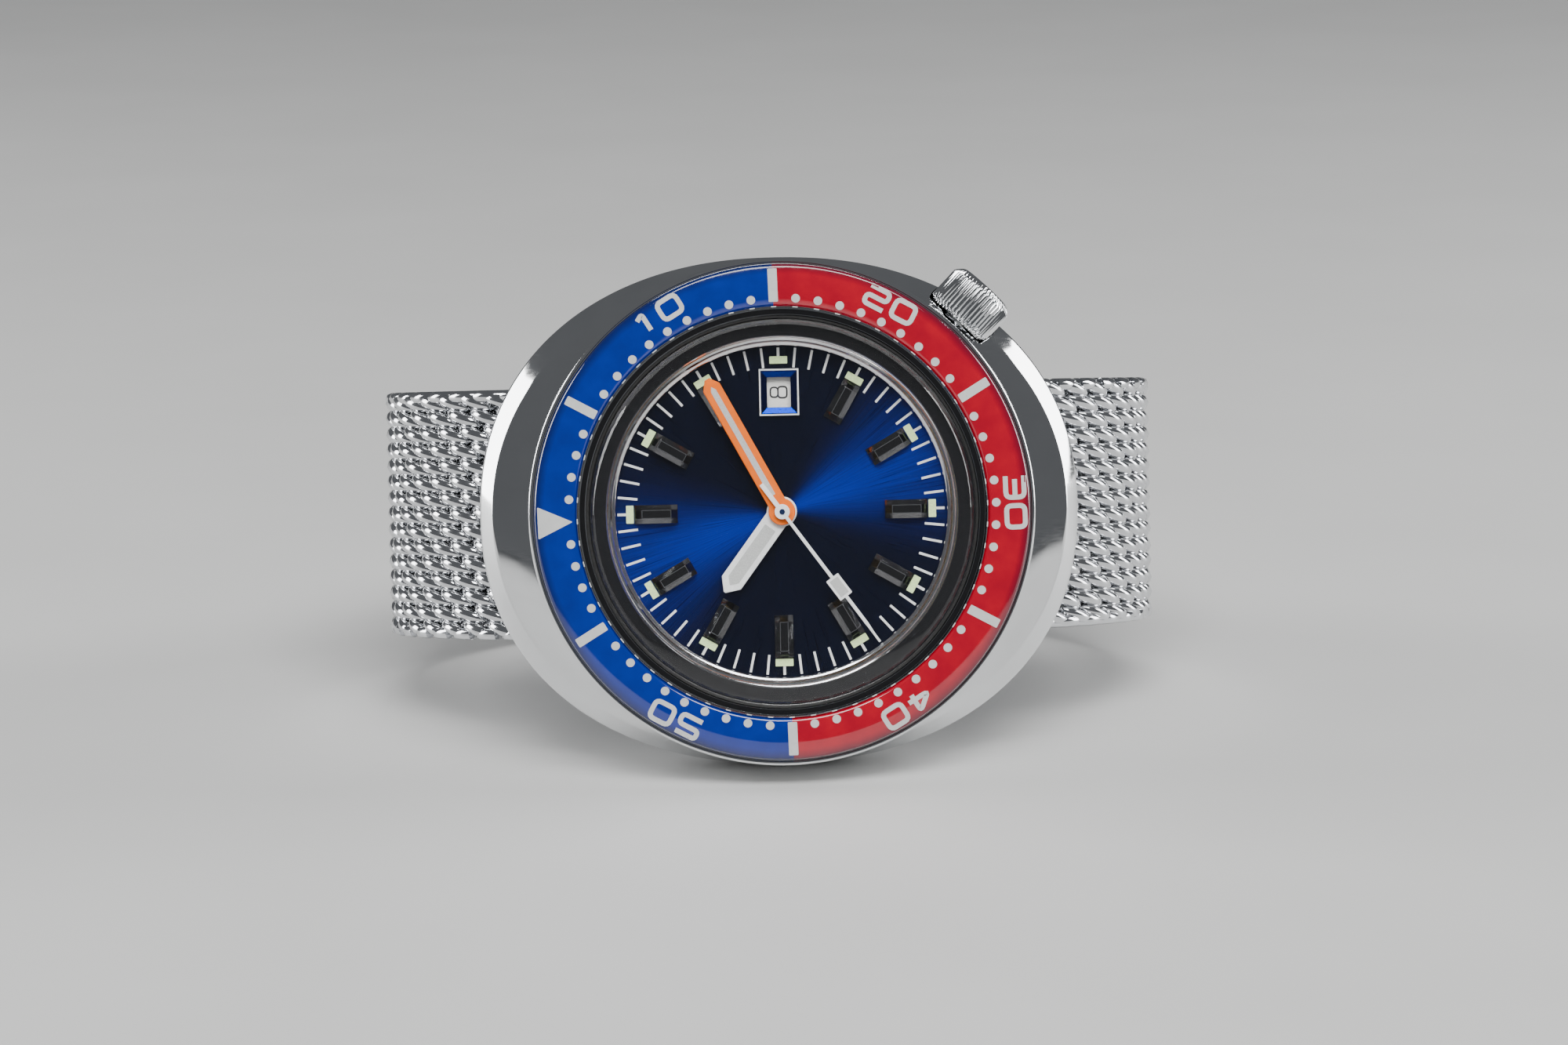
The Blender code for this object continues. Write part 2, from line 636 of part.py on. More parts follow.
def make_clasp():
    """Base plate hinged to the 6 o'clock side, folding blade, and the cover over them."""
    end_x, end_z = loop_point(segment_angles()[-1])
    hinge_in = (-HINGE_X, HINGE_Z)
    hinge_out = (HINGE_X, HINGE_Z)
    base = side_prism(plate_outline(-HINGE_X - 0.8, end_x, -47.8, -47.1), -5.0, 5.0)
    base = add_part("clasp_base", base, "brushed_steel", (end_x, 0, end_z))
    unite(base, side_prism(disc_outline(end_x, end_z, CLASP_BARREL_R), -9.2, 9.2))
    unite(base, side_prism(disc_outline(end_x, end_z, 0.4), -10.4, 10.4))
    add_ears(base, disc_outline(*hinge_in, 0.5), ear_outline(*hinge_in, -47.4, 0.8), 4.0, 5.0)
    blade = side_prism(plate_outline(-HINGE_X, HINGE_X, HINGE_Z - 0.35, HINGE_Z + 0.35), -3.8, 3.8)
    blade = add_part("clasp_blade", blade, "brushed_steel", (hinge_in[0], 0, hinge_in[1]))
    for hinge in (hinge_in, hinge_out):
        unite(blade, side_prism(disc_outline(*hinge, 0.62), -3.8, 3.8))
        unite(blade, side_prism(disc_outline(*hinge, 0.4), -4.9, 4.9))
    cover_in = CLASP_OUT_Z + COVER_THICK
    cover = plate_outline(-CLASP_HALF_LENGTH, CLASP_HALF_LENGTH, CLASP_OUT_Z, cover_in)
    cover = side_prism(cover, -CLASP_HALF_WIDTH, CLASP_HALF_WIDTH)
    cover = add_part("clasp_cover", cover, "polished_steel", (hinge_out[0], 0, hinge_out[1]))
    wall = plate_outline(-CLASP_HALF_LENGTH, CLASP_HALF_LENGTH, CLASP_OUT_Z, -47.6)
    for side in (-1, 1):
        unite(cover, side_prism(wall, side * (CLASP_HALF_WIDTH - 0.7), side * CLASP_HALF_WIDTH))
    ear = ear_outline(*hinge_out, CLASP_OUT_Z + COVER_THICK / 2, 0.8)
    add_ears(cover, disc_outline(*hinge_out, 0.5), ear, 4.0, 5.0)


# ---- standing the watch up ----------------------------------------------------------------


def stand_up():
    """Leans the watch on its flank and clasp, with the origin under the middle of its box."""
    WATCH.rotation_euler = (math.pi / 2 - LEAN, 0, 0)
    bpy.context.view_layer.update()
    solids = [part for part in bpy.data.objects if part.type == "MESH" and not part.hide_render]
    corners = [part.matrix_world @ vertex.co for part in solids for vertex in part.data.vertices]
    low = [min(corner[axis] for corner in corners) for axis in range(3)]
    high = [max(corner[axis] for corner in corners) for axis in range(3)]
    WATCH.location = (-(low[0] + high[0]) / 2, -(low[1] + high[1]) / 2, -low[2])
    bpy.context.view_layer.update()


make_mid_case()
make_case_back()
make_crystal()
make_bezel()
make_crown()
make_dial()
make_markers()
make_hands()
make_centre_stack()
make_train()
make_balance()
make_plates()
make_rotor()
make_band(-1, 12)
make_band(1, 6)
make_clasp()
stand_up()
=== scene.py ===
"""Looks of the dive watch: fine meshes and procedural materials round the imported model.

Shapes are drawn in millimetres in the watch frame, as in the CAD: x towards 6 o'clock,
y towards 3 o'clock, z out of the dial, with z = 0 on the dial. Angles are in degrees.
"""

import bisect
import json
import math

import bmesh
import bpy
from mathutils import Matrix, Vector


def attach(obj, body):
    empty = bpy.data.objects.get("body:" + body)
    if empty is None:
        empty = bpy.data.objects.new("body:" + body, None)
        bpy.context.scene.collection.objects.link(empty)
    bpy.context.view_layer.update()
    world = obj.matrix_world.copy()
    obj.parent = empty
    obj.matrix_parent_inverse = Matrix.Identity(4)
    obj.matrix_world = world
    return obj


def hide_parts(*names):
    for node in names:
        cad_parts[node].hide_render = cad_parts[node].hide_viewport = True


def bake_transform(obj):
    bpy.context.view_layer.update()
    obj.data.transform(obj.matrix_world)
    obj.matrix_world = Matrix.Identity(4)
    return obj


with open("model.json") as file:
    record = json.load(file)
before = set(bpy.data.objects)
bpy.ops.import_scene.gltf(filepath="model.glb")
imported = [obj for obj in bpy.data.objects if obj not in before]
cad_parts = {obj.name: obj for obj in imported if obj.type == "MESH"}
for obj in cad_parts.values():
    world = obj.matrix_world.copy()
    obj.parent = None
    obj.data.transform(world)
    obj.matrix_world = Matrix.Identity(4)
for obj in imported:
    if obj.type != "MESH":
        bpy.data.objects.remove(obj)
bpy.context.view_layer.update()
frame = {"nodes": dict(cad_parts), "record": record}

MM = 0.001
JOINTS = {joint["name"]: joint for joint in frame["record"]["behaviour"]["joints"]}
SLOTS = {part["node"]: part["material_slot"] for part in frame["record"]["subparts"]}
SECONDS_JOINT_Z = 1.65


def watch_matrix():
    """The watch frame in the world, from the axis that the seconds hand turns on."""
    out = -Vector(JOINTS["seconds_turn"]["axis"])
    centre = Vector(JOINTS["seconds_turn"]["pos_m"]) - out * SECONDS_JOINT_Z * MM
    along = Vector((1, 0, 0))
    turn = Matrix((along, out.cross(along), out)).transposed().to_4x4()
    return Matrix.Translation(centre) @ turn


WATCH = watch_matrix()


def turn_z(degrees):
    return Matrix.Rotation(math.radians(degrees), 4, "Z")


def polar(radius, degrees, z=0.0):
    angle = math.radians(degrees)
    return Vector((radius * math.cos(angle), radius * math.sin(angle), z))


def at_dial(radius, dial_angle, z=0.0):
    """A point at a clockwise dial angle, with 12 o'clock on -x."""
    return polar(radius, 180 - dial_angle, z)


# ---- materials ----------------------------------------------------------------------------

BEZEL_BLUE = (0.0, 0.026, 0.34)
BEZEL_RED = (0.55, 0.0, 0.02)
DIAL_DARK = (0.0003, 0.0022, 0.013)
# painted sheen on the dial: DIAL_PAINTED_SHEEN is the colour painted into two opposite lobes,
# SHEEN_LOBE_ANGLE turns them and SHEEN_LOBE_POWER narrows them
DIAL_PAINTED_SHEEN = (0.0, 0.023, 0.37)
SHEEN_LOBE_ANGLE = 0.36  # radians from the 6 o'clock direction
SHEEN_LOBE_POWER = 14.0


class Look:
    """A Principled material with short names for adding the nodes behind it."""

    def __init__(self, name, colour, roughness, metallic=0.0, **sockets):
        self.material = bpy.data.materials.new(name)
        self.material.use_nodes = True
        self.nodes = self.material.node_tree.nodes
        self.links = self.material.node_tree.links
        self.shader = self.nodes["Principled BSDF"]
        self.output = self.nodes["Material Output"]
        self.set("Base Color", (*colour, 1.0))
        self.set("Roughness", roughness)
        self.set("Metallic", metallic)
        for socket, value in sockets.items():
            self.set(socket.replace("_", " ").title().replace("Ior", "IOR"), value)
        self.place = self.add("ShaderNodeTexCoord").outputs["Object"]

    def set(self, socket, value):
        self.shader.inputs[socket].default_value = value

    def feed(self, socket, value):
        """Links another node's output to a socket, or sets the socket to a plain value."""
        if isinstance(value, bpy.types.NodeSocket):
            self.links.new(value, socket)
        else:
            socket.default_value = value

    def add(self, kind, inputs=(), **settings):
        node = self.nodes.new(kind)
        for name, value in settings.items():
            setattr(node, name, value)
        for name, value in dict(inputs).items():
            self.feed(node.inputs[name], value)
        return node

    def link(self, value, socket):
        self.links.new(value, self.shader.inputs[socket])

    def stretched(self, scale, rotation=(0, 0, 0)):
        mapping = self.add("ShaderNodeMapping",
                           {"Vector": self.place, "Scale": scale, "Rotation": rotation})
        return mapping.outputs["Vector"]

    def noise(self, scale, detail=3.0, place=None):
        inputs = {"Vector": place or self.place, "Scale": scale, "Detail": detail}
        return self.add("ShaderNodeTexNoise", inputs).outputs["Fac"]

    def span(self, value, low, high, from_low=0.3, from_high=0.7):
        inputs = {"Value": value, "From Min": from_low, "From Max": from_high, "To Min": low,
                  "To Max": high}
        return self.add("ShaderNodeMapRange", inputs).outputs["Result"]

    def math(self, operation, first, second=0.0):
        return self.add("ShaderNodeMath", {0: first, 1: second},
                        operation=operation).outputs["Value"]

    def mix(self, factor, first, second):
        """Goes from the first colour to the second with the factor."""
        node = self.add("ShaderNodeMix", data_type="RGBA")
        for name, value in (("Factor", factor), ("A", first), ("B", second)):
            socket = next(s for s in node.inputs if s.name == name and s.enabled)
            self.feed(socket, (*value, 1.0) if isinstance(value, tuple) else value)
        return next(s for s in node.outputs if s.enabled)

    def radius(self):
        """The distance from the middle of the watch."""
        return self.add("ShaderNodeVectorMath", {0: self.place},
                        operation="LENGTH").outputs["Value"]

    def mottle(self, value, colour, share):
        """Lets the base colour darken to a share of itself with a value."""
        shade = tuple(channel * share for channel in colour)
        self.link(self.mix(self.span(value, 0.0, 1.0), colour, shade), "Base Color")

    def bump(self, height, strength, distance=0.00002):
        inputs = {"Height": height, "Strength": strength, "Distance": distance}
        self.link(self.add("ShaderNodeBump", inputs).outputs["Normal"], "Normal")


def polished(name, colour=(0.80, 0.81, 0.82), roughness=0.06):
    """Mirror-polished steel: faint smears and hairline marks in an almost clear reflection."""
    look = Look(name, colour, roughness, 1.0)
    smear = look.noise(260.0, 4.0)
    hair = look.noise(900.0, 2.0, look.stretched((1.0, 6.0, 1.0)))
    marks = look.math("MULTIPLY", smear, hair)
    look.link(look.span(marks, roughness * 0.6, roughness * 2.2, 0.1, 0.5), "Roughness")
    look.mottle(smear, colour, 0.93)
    look.bump(look.noise(420.0, 2.0), 0.04)
    return look.material


def brushed(name, colour, roughness=0.3, grain=(1.0, 30.0, 30.0)):
    """Satin metal: fine parallel grain along one direction."""
    look = Look(name, colour, roughness, 1.0)
    streak = look.noise(900.0, 5.0, look.stretched(grain))
    look.link(look.span(streak, roughness * 0.75, roughness * 1.35), "Roughness")
    look.mottle(streak, colour, 0.82)
    look.bump(streak, 0.12)
    return look.material


def lacquer(name, colour, roughness=0.2, metallic=0.0, fleck=0.9, peel=0.05, **sockets):
    """Smooth paint with a faint cloudiness and orange-peel."""
    look = Look(name, colour, roughness, metallic, **sockets)
    look.mottle(look.noise(700.0, 3.0), colour, fleck)
    look.link(look.span(look.noise(2500.0), roughness * 0.8, roughness * 1.25), "Roughness")
    look.bump(look.noise(3500.0, 2.0), peel)
    return look.material


def luminous(name, colour):
    """Lume paint: matt and granular."""
    look = Look(name, colour, 0.6)
    grain = look.noise(9000.0, 2.0)
    look.mottle(grain, colour, 0.78)
    look.bump(grain, 0.25)
    return look.material


def bezel_enamel():
    """Gloss insert: blue on the 12 o'clock half, red on the other, with painted shade darkening its
    outer bevel.
    """
    look = Look("insert_enamel", BEZEL_BLUE, 0.07, coat_weight=1.0, coat_roughness=0.03)
    axes = look.add("ShaderNodeSeparateXYZ", {"Vector": look.place})
    half = look.math("LESS_THAN", axes.outputs["X"], 0.0)
    paint = look.mix(half, BEZEL_RED, BEZEL_BLUE)
    cloud = look.span(look.noise(500.0, 3.0), 0.0, 0.22)
    paint = look.mix(cloud, paint, (0.0, 0.0, 0.02))
    radius = look.radius()
    # painted shade: the paint darkens over the outer bevel towards the rim
    painted_rim_shade = look.span(radius, 0.0, 0.75, 20.75 * MM, 21.5 * MM)
    look.link(look.mix(painted_rim_shade, paint, (0.002, 0.004, 0.02)), "Base Color")
    look.link(look.span(look.noise(1500.0), 0.05, 0.1), "Roughness")
    return look.material


def sunburst():
    """Dial lacquer over radial brushing, with painted sheen: bright in two opposite lobes and dark
    between.
    """
    look = Look("dial_sunburst_painted_sheen", DIAL_DARK, 0.3, 0.55, specular_ior_level=0.2)
    axes = look.add("ShaderNodeSeparateXYZ", {"Vector": look.place})
    angle = look.math("ARCTAN2", axes.outputs["Y"], axes.outputs["X"])
    radius = look.radius()
    # painted sheen: two opposite bright lobes, weaker towards the rim and streaked by the brushing
    from_sheen_lobe = look.math("COSINE", look.math("ADD", angle, -SHEEN_LOBE_ANGLE))
    sheen_lobe = look.math("POWER", look.math("ABSOLUTE", from_sheen_lobe), SHEEN_LOBE_POWER)
    ray_place = look.add("ShaderNodeCombineXYZ",
                         {"X": angle, "Y": look.math("MULTIPLY", radius, 1.2)})
    rays = look.noise(110.0, 4.0, ray_place.outputs["Vector"])
    sheen_fade = look.span(radius, 1.0, 0.55, 4.0 * MM, 14.0 * MM)
    painted_sheen = look.math("MULTIPLY", look.math("MULTIPLY", sheen_lobe, sheen_fade), look.span(rays, 0.6, 1.35))
    look.link(look.mix(painted_sheen, DIAL_DARK, DIAL_PAINTED_SHEEN), "Base Color")
    look.link(look.span(rays, 0.26, 0.42), "Roughness")
    look.bump(rays, 0.08)
    return look.material


def turned_steel():
    """Satin steel turned in circles about the middle of the watch."""
    look = Look("steel_turned", (0.66, 0.67, 0.68), 0.28, 1.0)
    radius = look.radius()
    ring_place = look.add("ShaderNodeCombineXYZ", {"X": radius})
    rings = look.noise(5000.0, 4.0, ring_place.outputs["Vector"])
    look.link(look.span(rings, 0.2, 0.36), "Roughness")
    look.link(look.mix(look.span(rings, 0.0, 1.0), (0.68, 0.69, 0.70), (0.55, 0.56, 0.57)),
              "Base Color")
    look.bump(rings, 0.1)
    return look.material


def sapphire():
    """Clear crystal that lets the light through to the dial."""
    look = Look("sapphire_clear", (1.0, 1.0, 1.0), 0.0, transmission_weight=1.0, ior=1.45,
                specular_ior_level=0.1)
    look.link(look.span(look.noise(300.0), 0.0, 0.01), "Roughness")
    clear = look.add("ShaderNodeBsdfTransparent")
    shadow = look.add("ShaderNodeLightPath").outputs["Is Shadow Ray"]
    mixed = look.nodes.new("ShaderNodeMixShader")
    look.links.new(shadow, mixed.inputs[0])
    look.links.new(look.shader.outputs[0], mixed.inputs[1])
    look.links.new(clear.outputs[0], mixed.inputs[2])
    look.links.new(mixed.outputs[0], look.output.inputs["Surface"])
    return look.material


LOOKS = {
    "polished_steel": polished("steel_mirror"),
    # darker than the mirror steel: partly the mesh's own darker oxide, partly painted shade for the
    # shadow between its strands and darker surroundings
    "mesh_steel": polished("steel_mesh", (0.74, 0.75, 0.77), 0.1),
    "brushed_steel": brushed("steel_satin", (0.66, 0.67, 0.68)),
    "back_steel": turned_steel(),
    "black_steel": lacquer("black_mirror", (0.008, 0.008, 0.009), 0.05, peel=0.006,
                           coat_weight=0.6),
    "dark_chrome": polished("chrome_dark", (0.15, 0.15, 0.155), 0.04),
    "bezel_blue": bezel_enamel(),
    "dial_blue": sunburst(),
    "date_white": lacquer("date_paper_white", (0.80, 0.80, 0.77), 0.45),
    "hand_orange": lacquer("orange_enamel", (0.85, 0.15, 0.0), 0.45, specular_ior_level=0.2),
    "hand_white": lacquer("white_enamel", (0.86, 0.87, 0.87), 0.25, coat_weight=0.5),
    "print_white": lacquer("print_white", (0.80, 0.81, 0.80), 0.3, coat_weight=1.0,
                           coat_roughness=0.05),
    "print_black": lacquer("print_black", (0.02, 0.02, 0.022), 0.4),
    "lume_grey": luminous("lume_grey", (0.50, 0.51, 0.50)),
    "lume_green": luminous("lume_green", (0.74, 0.95, 0.46)),
    "sapphire": sapphire(),
    "window_blue": lacquer("window_blue", (0.0, 0.015, 0.2), 0.12, 1.0, peel=0.006),
    "pin_blue": lacquer("pin_blue", (0.01, 0.03, 0.12), 0.15, 0.6, coat_weight=0.6),
    "brass": brushed("brass_satin", (0.78, 0.57, 0.26), 0.25),
    "rubber": lacquer("gasket_rubber", (0.012, 0.012, 0.012), 0.6, peel=0.01),
}


# ---- mesh building, in watch-frame millimetres --------------------------------------------


def circle(radius, z, count):
    return [polar(radius, 360 * i / count, z) for i in range(count)]


def superellipse(half_x, half_y, power, z, count):
    points = []
    for i in range(count):
        angle = 2 * math.pi * i / count
        cos, sin = math.cos(angle), math.sin(angle)
        x = math.copysign(half_x * abs(cos) ** (2 / power), cos)
        y = math.copysign(half_y * abs(sin) ** (2 / power), sin)
        points.append(Vector((x, y, z)))
    return points


def bridge(bm, first, second):
    """Joins two rings of vertices, either of which may be a single vertex."""
    faces = []
    count = max(len(first), len(second))
    for i in range(count):
        j = (i + 1) % count
        if len(first) == 1:
            faces.append(bm.faces.new((first[0], second[i], second[j])))
        elif len(second) == 1:
            faces.append(bm.faces.new((first[i], first[j], second[0])))
        else:
            faces.append(bm.faces.new((first[i], first[j], second[j], second[i])))
    return faces


def loft(loops, hollow=False, bm=None):
    """A solid through loops of points, capped at both ends, or closed on itself if hollow."""
    bm = bm or bmesh.new()
    rings = [[bm.verts.new(point) for point in loop] for loop in loops]
    faces = []
    for first, second in zip(rings, rings[1:]):
        faces += bridge(bm, first, second)
    if hollow:
        faces += bridge(bm, rings[-1], rings[0])
    else:
        faces += [bm.faces.new(ring) for ring in (rings[0], rings[-1]) if len(ring) > 2]
    bmesh.ops.recalc_face_normals(bm, faces=faces)
    return bm


def turned(profile, count=192, bm=None):
    """A turned solid: its profile of (radius, z) starts and ends on the axis, or rings it."""
    loops = [[Vector((0, 0, z))] if radius == 0 else circle(radius, z, count)
             for radius, z in profile]
    return loft(loops, hollow=profile[0][0] > 0, bm=bm)


def ring_section(inner, outer, low, high):
    return [(inner, low), (outer, low), (outer, high), (inner, high)]


def side_prism(outline, low_y, high_y, bm=None):
    """A prism along y of an (x, z) outline."""
    return loft([[Vector((x, y, z)) for x, z in outline] for y in (low_y, high_y)], bm=bm)


def rounded(points, radius, steps=4):
    """A closed 2-D outline with its corners rounded."""
    result = []
    count = len(points)
    for i, corner in enumerate(points):
        corner = Vector(corner)
        before = Vector(points[i - 1]) - corner
        after = Vector(points[(i + 1) % count]) - corner
        reach = min(radius, before.length * 0.45, after.length * 0.45)
        start = corner + before.normalized() * reach
        end = corner + after.normalized() * reach
        for step in range(steps + 1):
            t = step / steps
            result.append(tuple((1 - t) ** 2 * start + 2 * t * (1 - t) * corner + t * t * end))
    return result


def rounded_path(points, radius, steps=4):
    """An open 2-D path with its inner corners rounded."""
    inner = rounded(points, radius, steps)
    size = steps + 1
    return [tuple(points[0])] + inner[size:-size] + [tuple(points[-1])]


def ribbon(bm, points, width, place, low, high, closed=False):
    """A flat strip of the given width along a 2-D path, put where place(x, y, z) says."""
    count = len(points)
    sections = []
    for i, point in enumerate(points):
        before = Vector(points[i - 1] if closed or i else points[0])
        after = Vector(points[(i + 1) % count] if closed or i < count - 1 else points[-1])
        here = Vector(point)
        turn = []
        for run in (here - before, after - here):
            if run.length > 1e-9:
                turn.append(run.normalized())
        middle = sum(turn, Vector((0, 0))).normalized()
        side = Vector((-middle.y, middle.x))
        side *= width / 2 / max(0.5, side.dot(Vector((-turn[0].y, turn[0].x))))
        edges = (here - side, here + side)
        corners = [place(edges[0].x, edges[0].y, low), place(edges[1].x, edges[1].y, low)]
        corners += [place(edges[1].x, edges[1].y, high), place(edges[0].x, edges[0].y, high)]
        sections.append(corners)
    loft(sections, hollow=closed, bm=bm)


def flat_shape(bm, outline, place, low, high):
    loft([[place(x, y, z) for x, y in outline] for z in (low, high)], bm=bm)


def new_object(name, data):
    made = bpy.data.objects.new(name, data)
    bpy.context.scene.collection.objects.link(made)
    return made


def mesh_in_metres(name, bm):
    bmesh.ops.scale(bm, vec=(MM, MM, MM), verts=bm.verts)
    mesh = bpy.data.meshes.new(name)
    bm.to_mesh(mesh)
    bm.free()
    return mesh


def add_piece(name, bm, look, body, replaces=(), slot=None, matrix=WATCH, sharp=30.0):
    """Makes an object of a shape in the watch frame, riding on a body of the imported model."""
    mesh = mesh_in_metres(name, bm)
    mesh.materials.append(LOOKS[look])
    mesh.shade_smooth()
    mesh.set_sharp_from_angle(angle=math.radians(sharp))
    piece = new_object(name, mesh)
    piece.matrix_world = matrix
    if body:
        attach(piece, body)
    if replaces:
        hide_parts(*replaces)
        slot = slot or SLOTS[replaces[0]]
    return piece


def cut(piece, bm):
    """Cuts a shape out of a piece, and applies the cut."""
    cutter = new_object("cutter", mesh_in_metres("cutter", bm))
    cutter.matrix_world = piece.matrix_world
    step = piece.modifiers.new("cut", "BOOLEAN")
    step.operation = "DIFFERENCE"
    step.object = cutter
    bpy.context.view_layer.update()
    evaluated = piece.evaluated_get(bpy.context.evaluated_depsgraph_get())
    finished = bpy.data.meshes.new_from_object(evaluated)
    piece.modifiers.remove(step)
    piece.data = finished
    bpy.data.objects.remove(cutter)


# ---- case, bezel and crystal ---------------------------------------------------------------

CASE_SECTIONS = (
    (20.5, 20.5, 2.0, 0.35), (21.2, 20.72, 2.01, 0.27), (22.0, 20.92, 2.02, 0.05),
    (23.4, 21.16, 2.03, -0.5), (24.7, 21.4, 2.04, -1.12), (24.86, 21.44, 2.045, -1.21),
    (24.98, 21.47, 2.05, -1.34), (25.5, 21.75, 2.13, -2.1), (25.88, 21.94, 2.19, -2.66),
    (25.97, 21.99, 2.2, -2.82), (26.0, 22.0, 2.2, -3.02), (26.0, 22.0, 2.2, -4.3),
    (25.8, 21.85, 2.2, -5.2), (25.3, 21.4, 2.2, -6.3), (24.6, 20.9, 2.2, -6.95),
    (23.6, 20.3, 2.2, -7.4), (22.6, 19.8, 2.2, -7.6),
)
CASE_BORE = (
    (16.4, -7.6), (16.4, -6.9), (15.3, -6.9), (15.3, -4.9), (14.5, -4.9), (14.5, 0.1), (16.9, 0.1),
    (16.9, 3.6), (17.4, 3.6), (17.4, 0.35),
)
CASE_POINTS = 256
CROWN_ANGLE = 134.0  # a dial angle, clockwise from 12 o'clock
CROWN_Z = -1.9
CROWN_RECESS = ((0, 22.3), (3.12, 22.3), (3.18, 22.4), (3.18, 27.0), (0, 27.0))
CROWN_TUBE_HOLE = ((0, 13.0), (1.22, 13.0), (1.22, 23.5), (0, 23.5))
LUG_SLOT_X = 17.9
LUG_SLOT_END_X = 30
LUG_SLOT_HALF = 11.4
LUG_SLOT_ROOF_Z = -3.5
LUG_SLOT_FLOOR_Z = -9.0
PIN_HOLE_HALF = 12.95
SPRING_BAR_X = 20.4
SPRING_BAR_R = 0.75
BAND_HALF_WIDTH = 11.0
LOOP_HALF_LENGTH = 33.4
LOOP_HALF_DEPTH = 24.2
LOOP_CENTRE_Z = -25.4


def spring_bar_z():
    return LOOP_CENTRE_Z + LOOP_HALF_DEPTH * math.sqrt(1 - (SPRING_BAR_X / LOOP_HALF_LENGTH) ** 2)


def crown_frame():
    """Along the crown: local z points out of the case, local x along the watch's z."""
    out = polar(1, 180 - CROWN_ANGLE)
    up = Vector((0, 0, 1))
    side = out.cross(up)
    turn = Matrix((up, side, out)).transposed().to_4x4()
    return Matrix.Translation((0, 0, CROWN_Z)) @ turn


def moved(bm, matrix):
    bm.transform(matrix)
    return bm


def disc_outline(x, z, radius, count=48):
    return [(x + radius * math.cos(2 * math.pi * i / count),
             z + radius * math.sin(2 * math.pi * i / count))
            for i in range(count)]


def make_case():
    loops = [superellipse(*section, CASE_POINTS) for section in CASE_SECTIONS]
    loops += [circle(radius, z, CASE_POINTS) for radius, z in CASE_BORE]
    case = add_piece("mid_case_body", loft(loops, hollow=True), "polished_steel", "case",
                     ["mid_case"], sharp=32)
    for side in (-1, 1):
        near, far = side * LUG_SLOT_X, side * LUG_SLOT_END_X
        outline = [(near, LUG_SLOT_FLOOR_Z), (far, LUG_SLOT_FLOOR_Z)]
        outline += [(far, LUG_SLOT_ROOF_Z), (near, LUG_SLOT_ROOF_Z)]
        cut(case, side_prism(rounded(outline, 0.6), -LUG_SLOT_HALF, LUG_SLOT_HALF))
        hole = disc_outline(side * SPRING_BAR_X, spring_bar_z(), SPRING_BAR_R + 0.05)
        cut(case, side_prism(hole, -PIN_HOLE_HALF, PIN_HOLE_HALF))
    cut(case, moved(turned(CROWN_RECESS, 96), crown_frame()))
    cut(case, moved(turned(CROWN_TUBE_HOLE, 64), crown_frame()))
    soften(case, 0.12, 32)


def soften(piece, width, angle, segments=2):
    """Breaks the edges sharper than an angle with a narrow bevel."""
    edge = piece.modifiers.new("edge", "BEVEL")
    edge.width = width * MM
    edge.segments = segments
    edge.limit_method = "ANGLE"
    edge.angle_limit = math.radians(angle)
    edge.use_clamp_overlap = True
    weight = piece.modifiers.new("normals", "WEIGHTED_NORMAL")
    weight.keep_sharp = True


BEZEL_TURN = 1.39
BEZEL = WATCH @ turn_z(BEZEL_TURN)
COIN_TEETH = 120
COIN_DEPTH = 0.3
COIN_EDGE = (
    (17.5, 0.65, 0), (21.3, 0.65, 0), (21.5, 0.75, 0), (21.55, 0.95, 0), (21.65, 1.1, COIN_DEPTH),
    (21.65, 2.45, COIN_DEPTH), (21.68, 2.6, 0), (21.75, 2.72, 0), (21.75, 3.05, 0), (21.68, 3.2, 0),
    (21.56, 3.27, 0), (21.44, 3.26, 0), (21.4, 3.2, 0), (21.4, 2.76, 0), (17.64, 2.76, 0),
    (17.64, 3.82, 0), (17.6, 3.87, 0), (17.54, 3.87, 0), (17.5, 3.82, 0),
)
BEZEL_LIP_Z = 3.87
INSERT_TOP = ((17.65, 3.70), (17.8, 3.86), (17.95, 3.92), (20.95, 3.87), (21.1, 3.79),
              (21.22, 3.62), (21.3, 3.3))
STROKES = {
    "0": [[(0, 0), (1, 0), (1, 1), (0, 1)]],
    "1": [[(0.25, 0.78), (0.6, 1), (0.6, 0)]],
    "2": [[(0, 1), (1, 1), (1, 0.5), (0, 0.5), (0, 0), (1, 0)]],
    "3": [[(0, 1), (1, 1), (1, 0), (0, 0)], [(0.15, 0.5), (0.95, 0.5)]],
    "4": [[(0.75, 0), (0.75, 1), (0, 0.3), (1.05, 0.3)]],
    "5": [[(1, 1), (0, 1), (0, 0.55), (1, 0.55), (1, 0), (0, 0)]],
    "6": [[(1, 1), (0, 1), (0, 0), (1, 0), (1, 0.52), (0.05, 0.52)]],
    "7": [[(0, 1), (1, 1), (0.35, 0)]],
    "8": [[(0, 0), (1, 0), (1, 0.54), (0, 0.54)],
          [(0.06, 0.54), (0.94, 0.54), (0.94, 1), (0.06, 1)]],
    "9": [[(0, 0), (1, 0), (1, 1), (0, 1), (0, 0.48), (0.95, 0.48)]],
}
CLOSED = "08"
BEZEL_PRINT = (-0.05, 0.035)  # from below the insert's surface to above it
DOT_AT, DOT_R = 18.3, 0.37
BAR_AT, BAR_HALF = 19.41, (0.4, 1.43)
NUMBER_AT, NUMBER_SIZE, NUMBER_STROKE, NUMBER_GAP = 19.95, (2.25, 2.0), 0.42, 0.3
TRIANGLE_AT, TRIANGLE = 19.45, ((0, -1.5), (1.385, 1.5), (-1.385, 1.5))


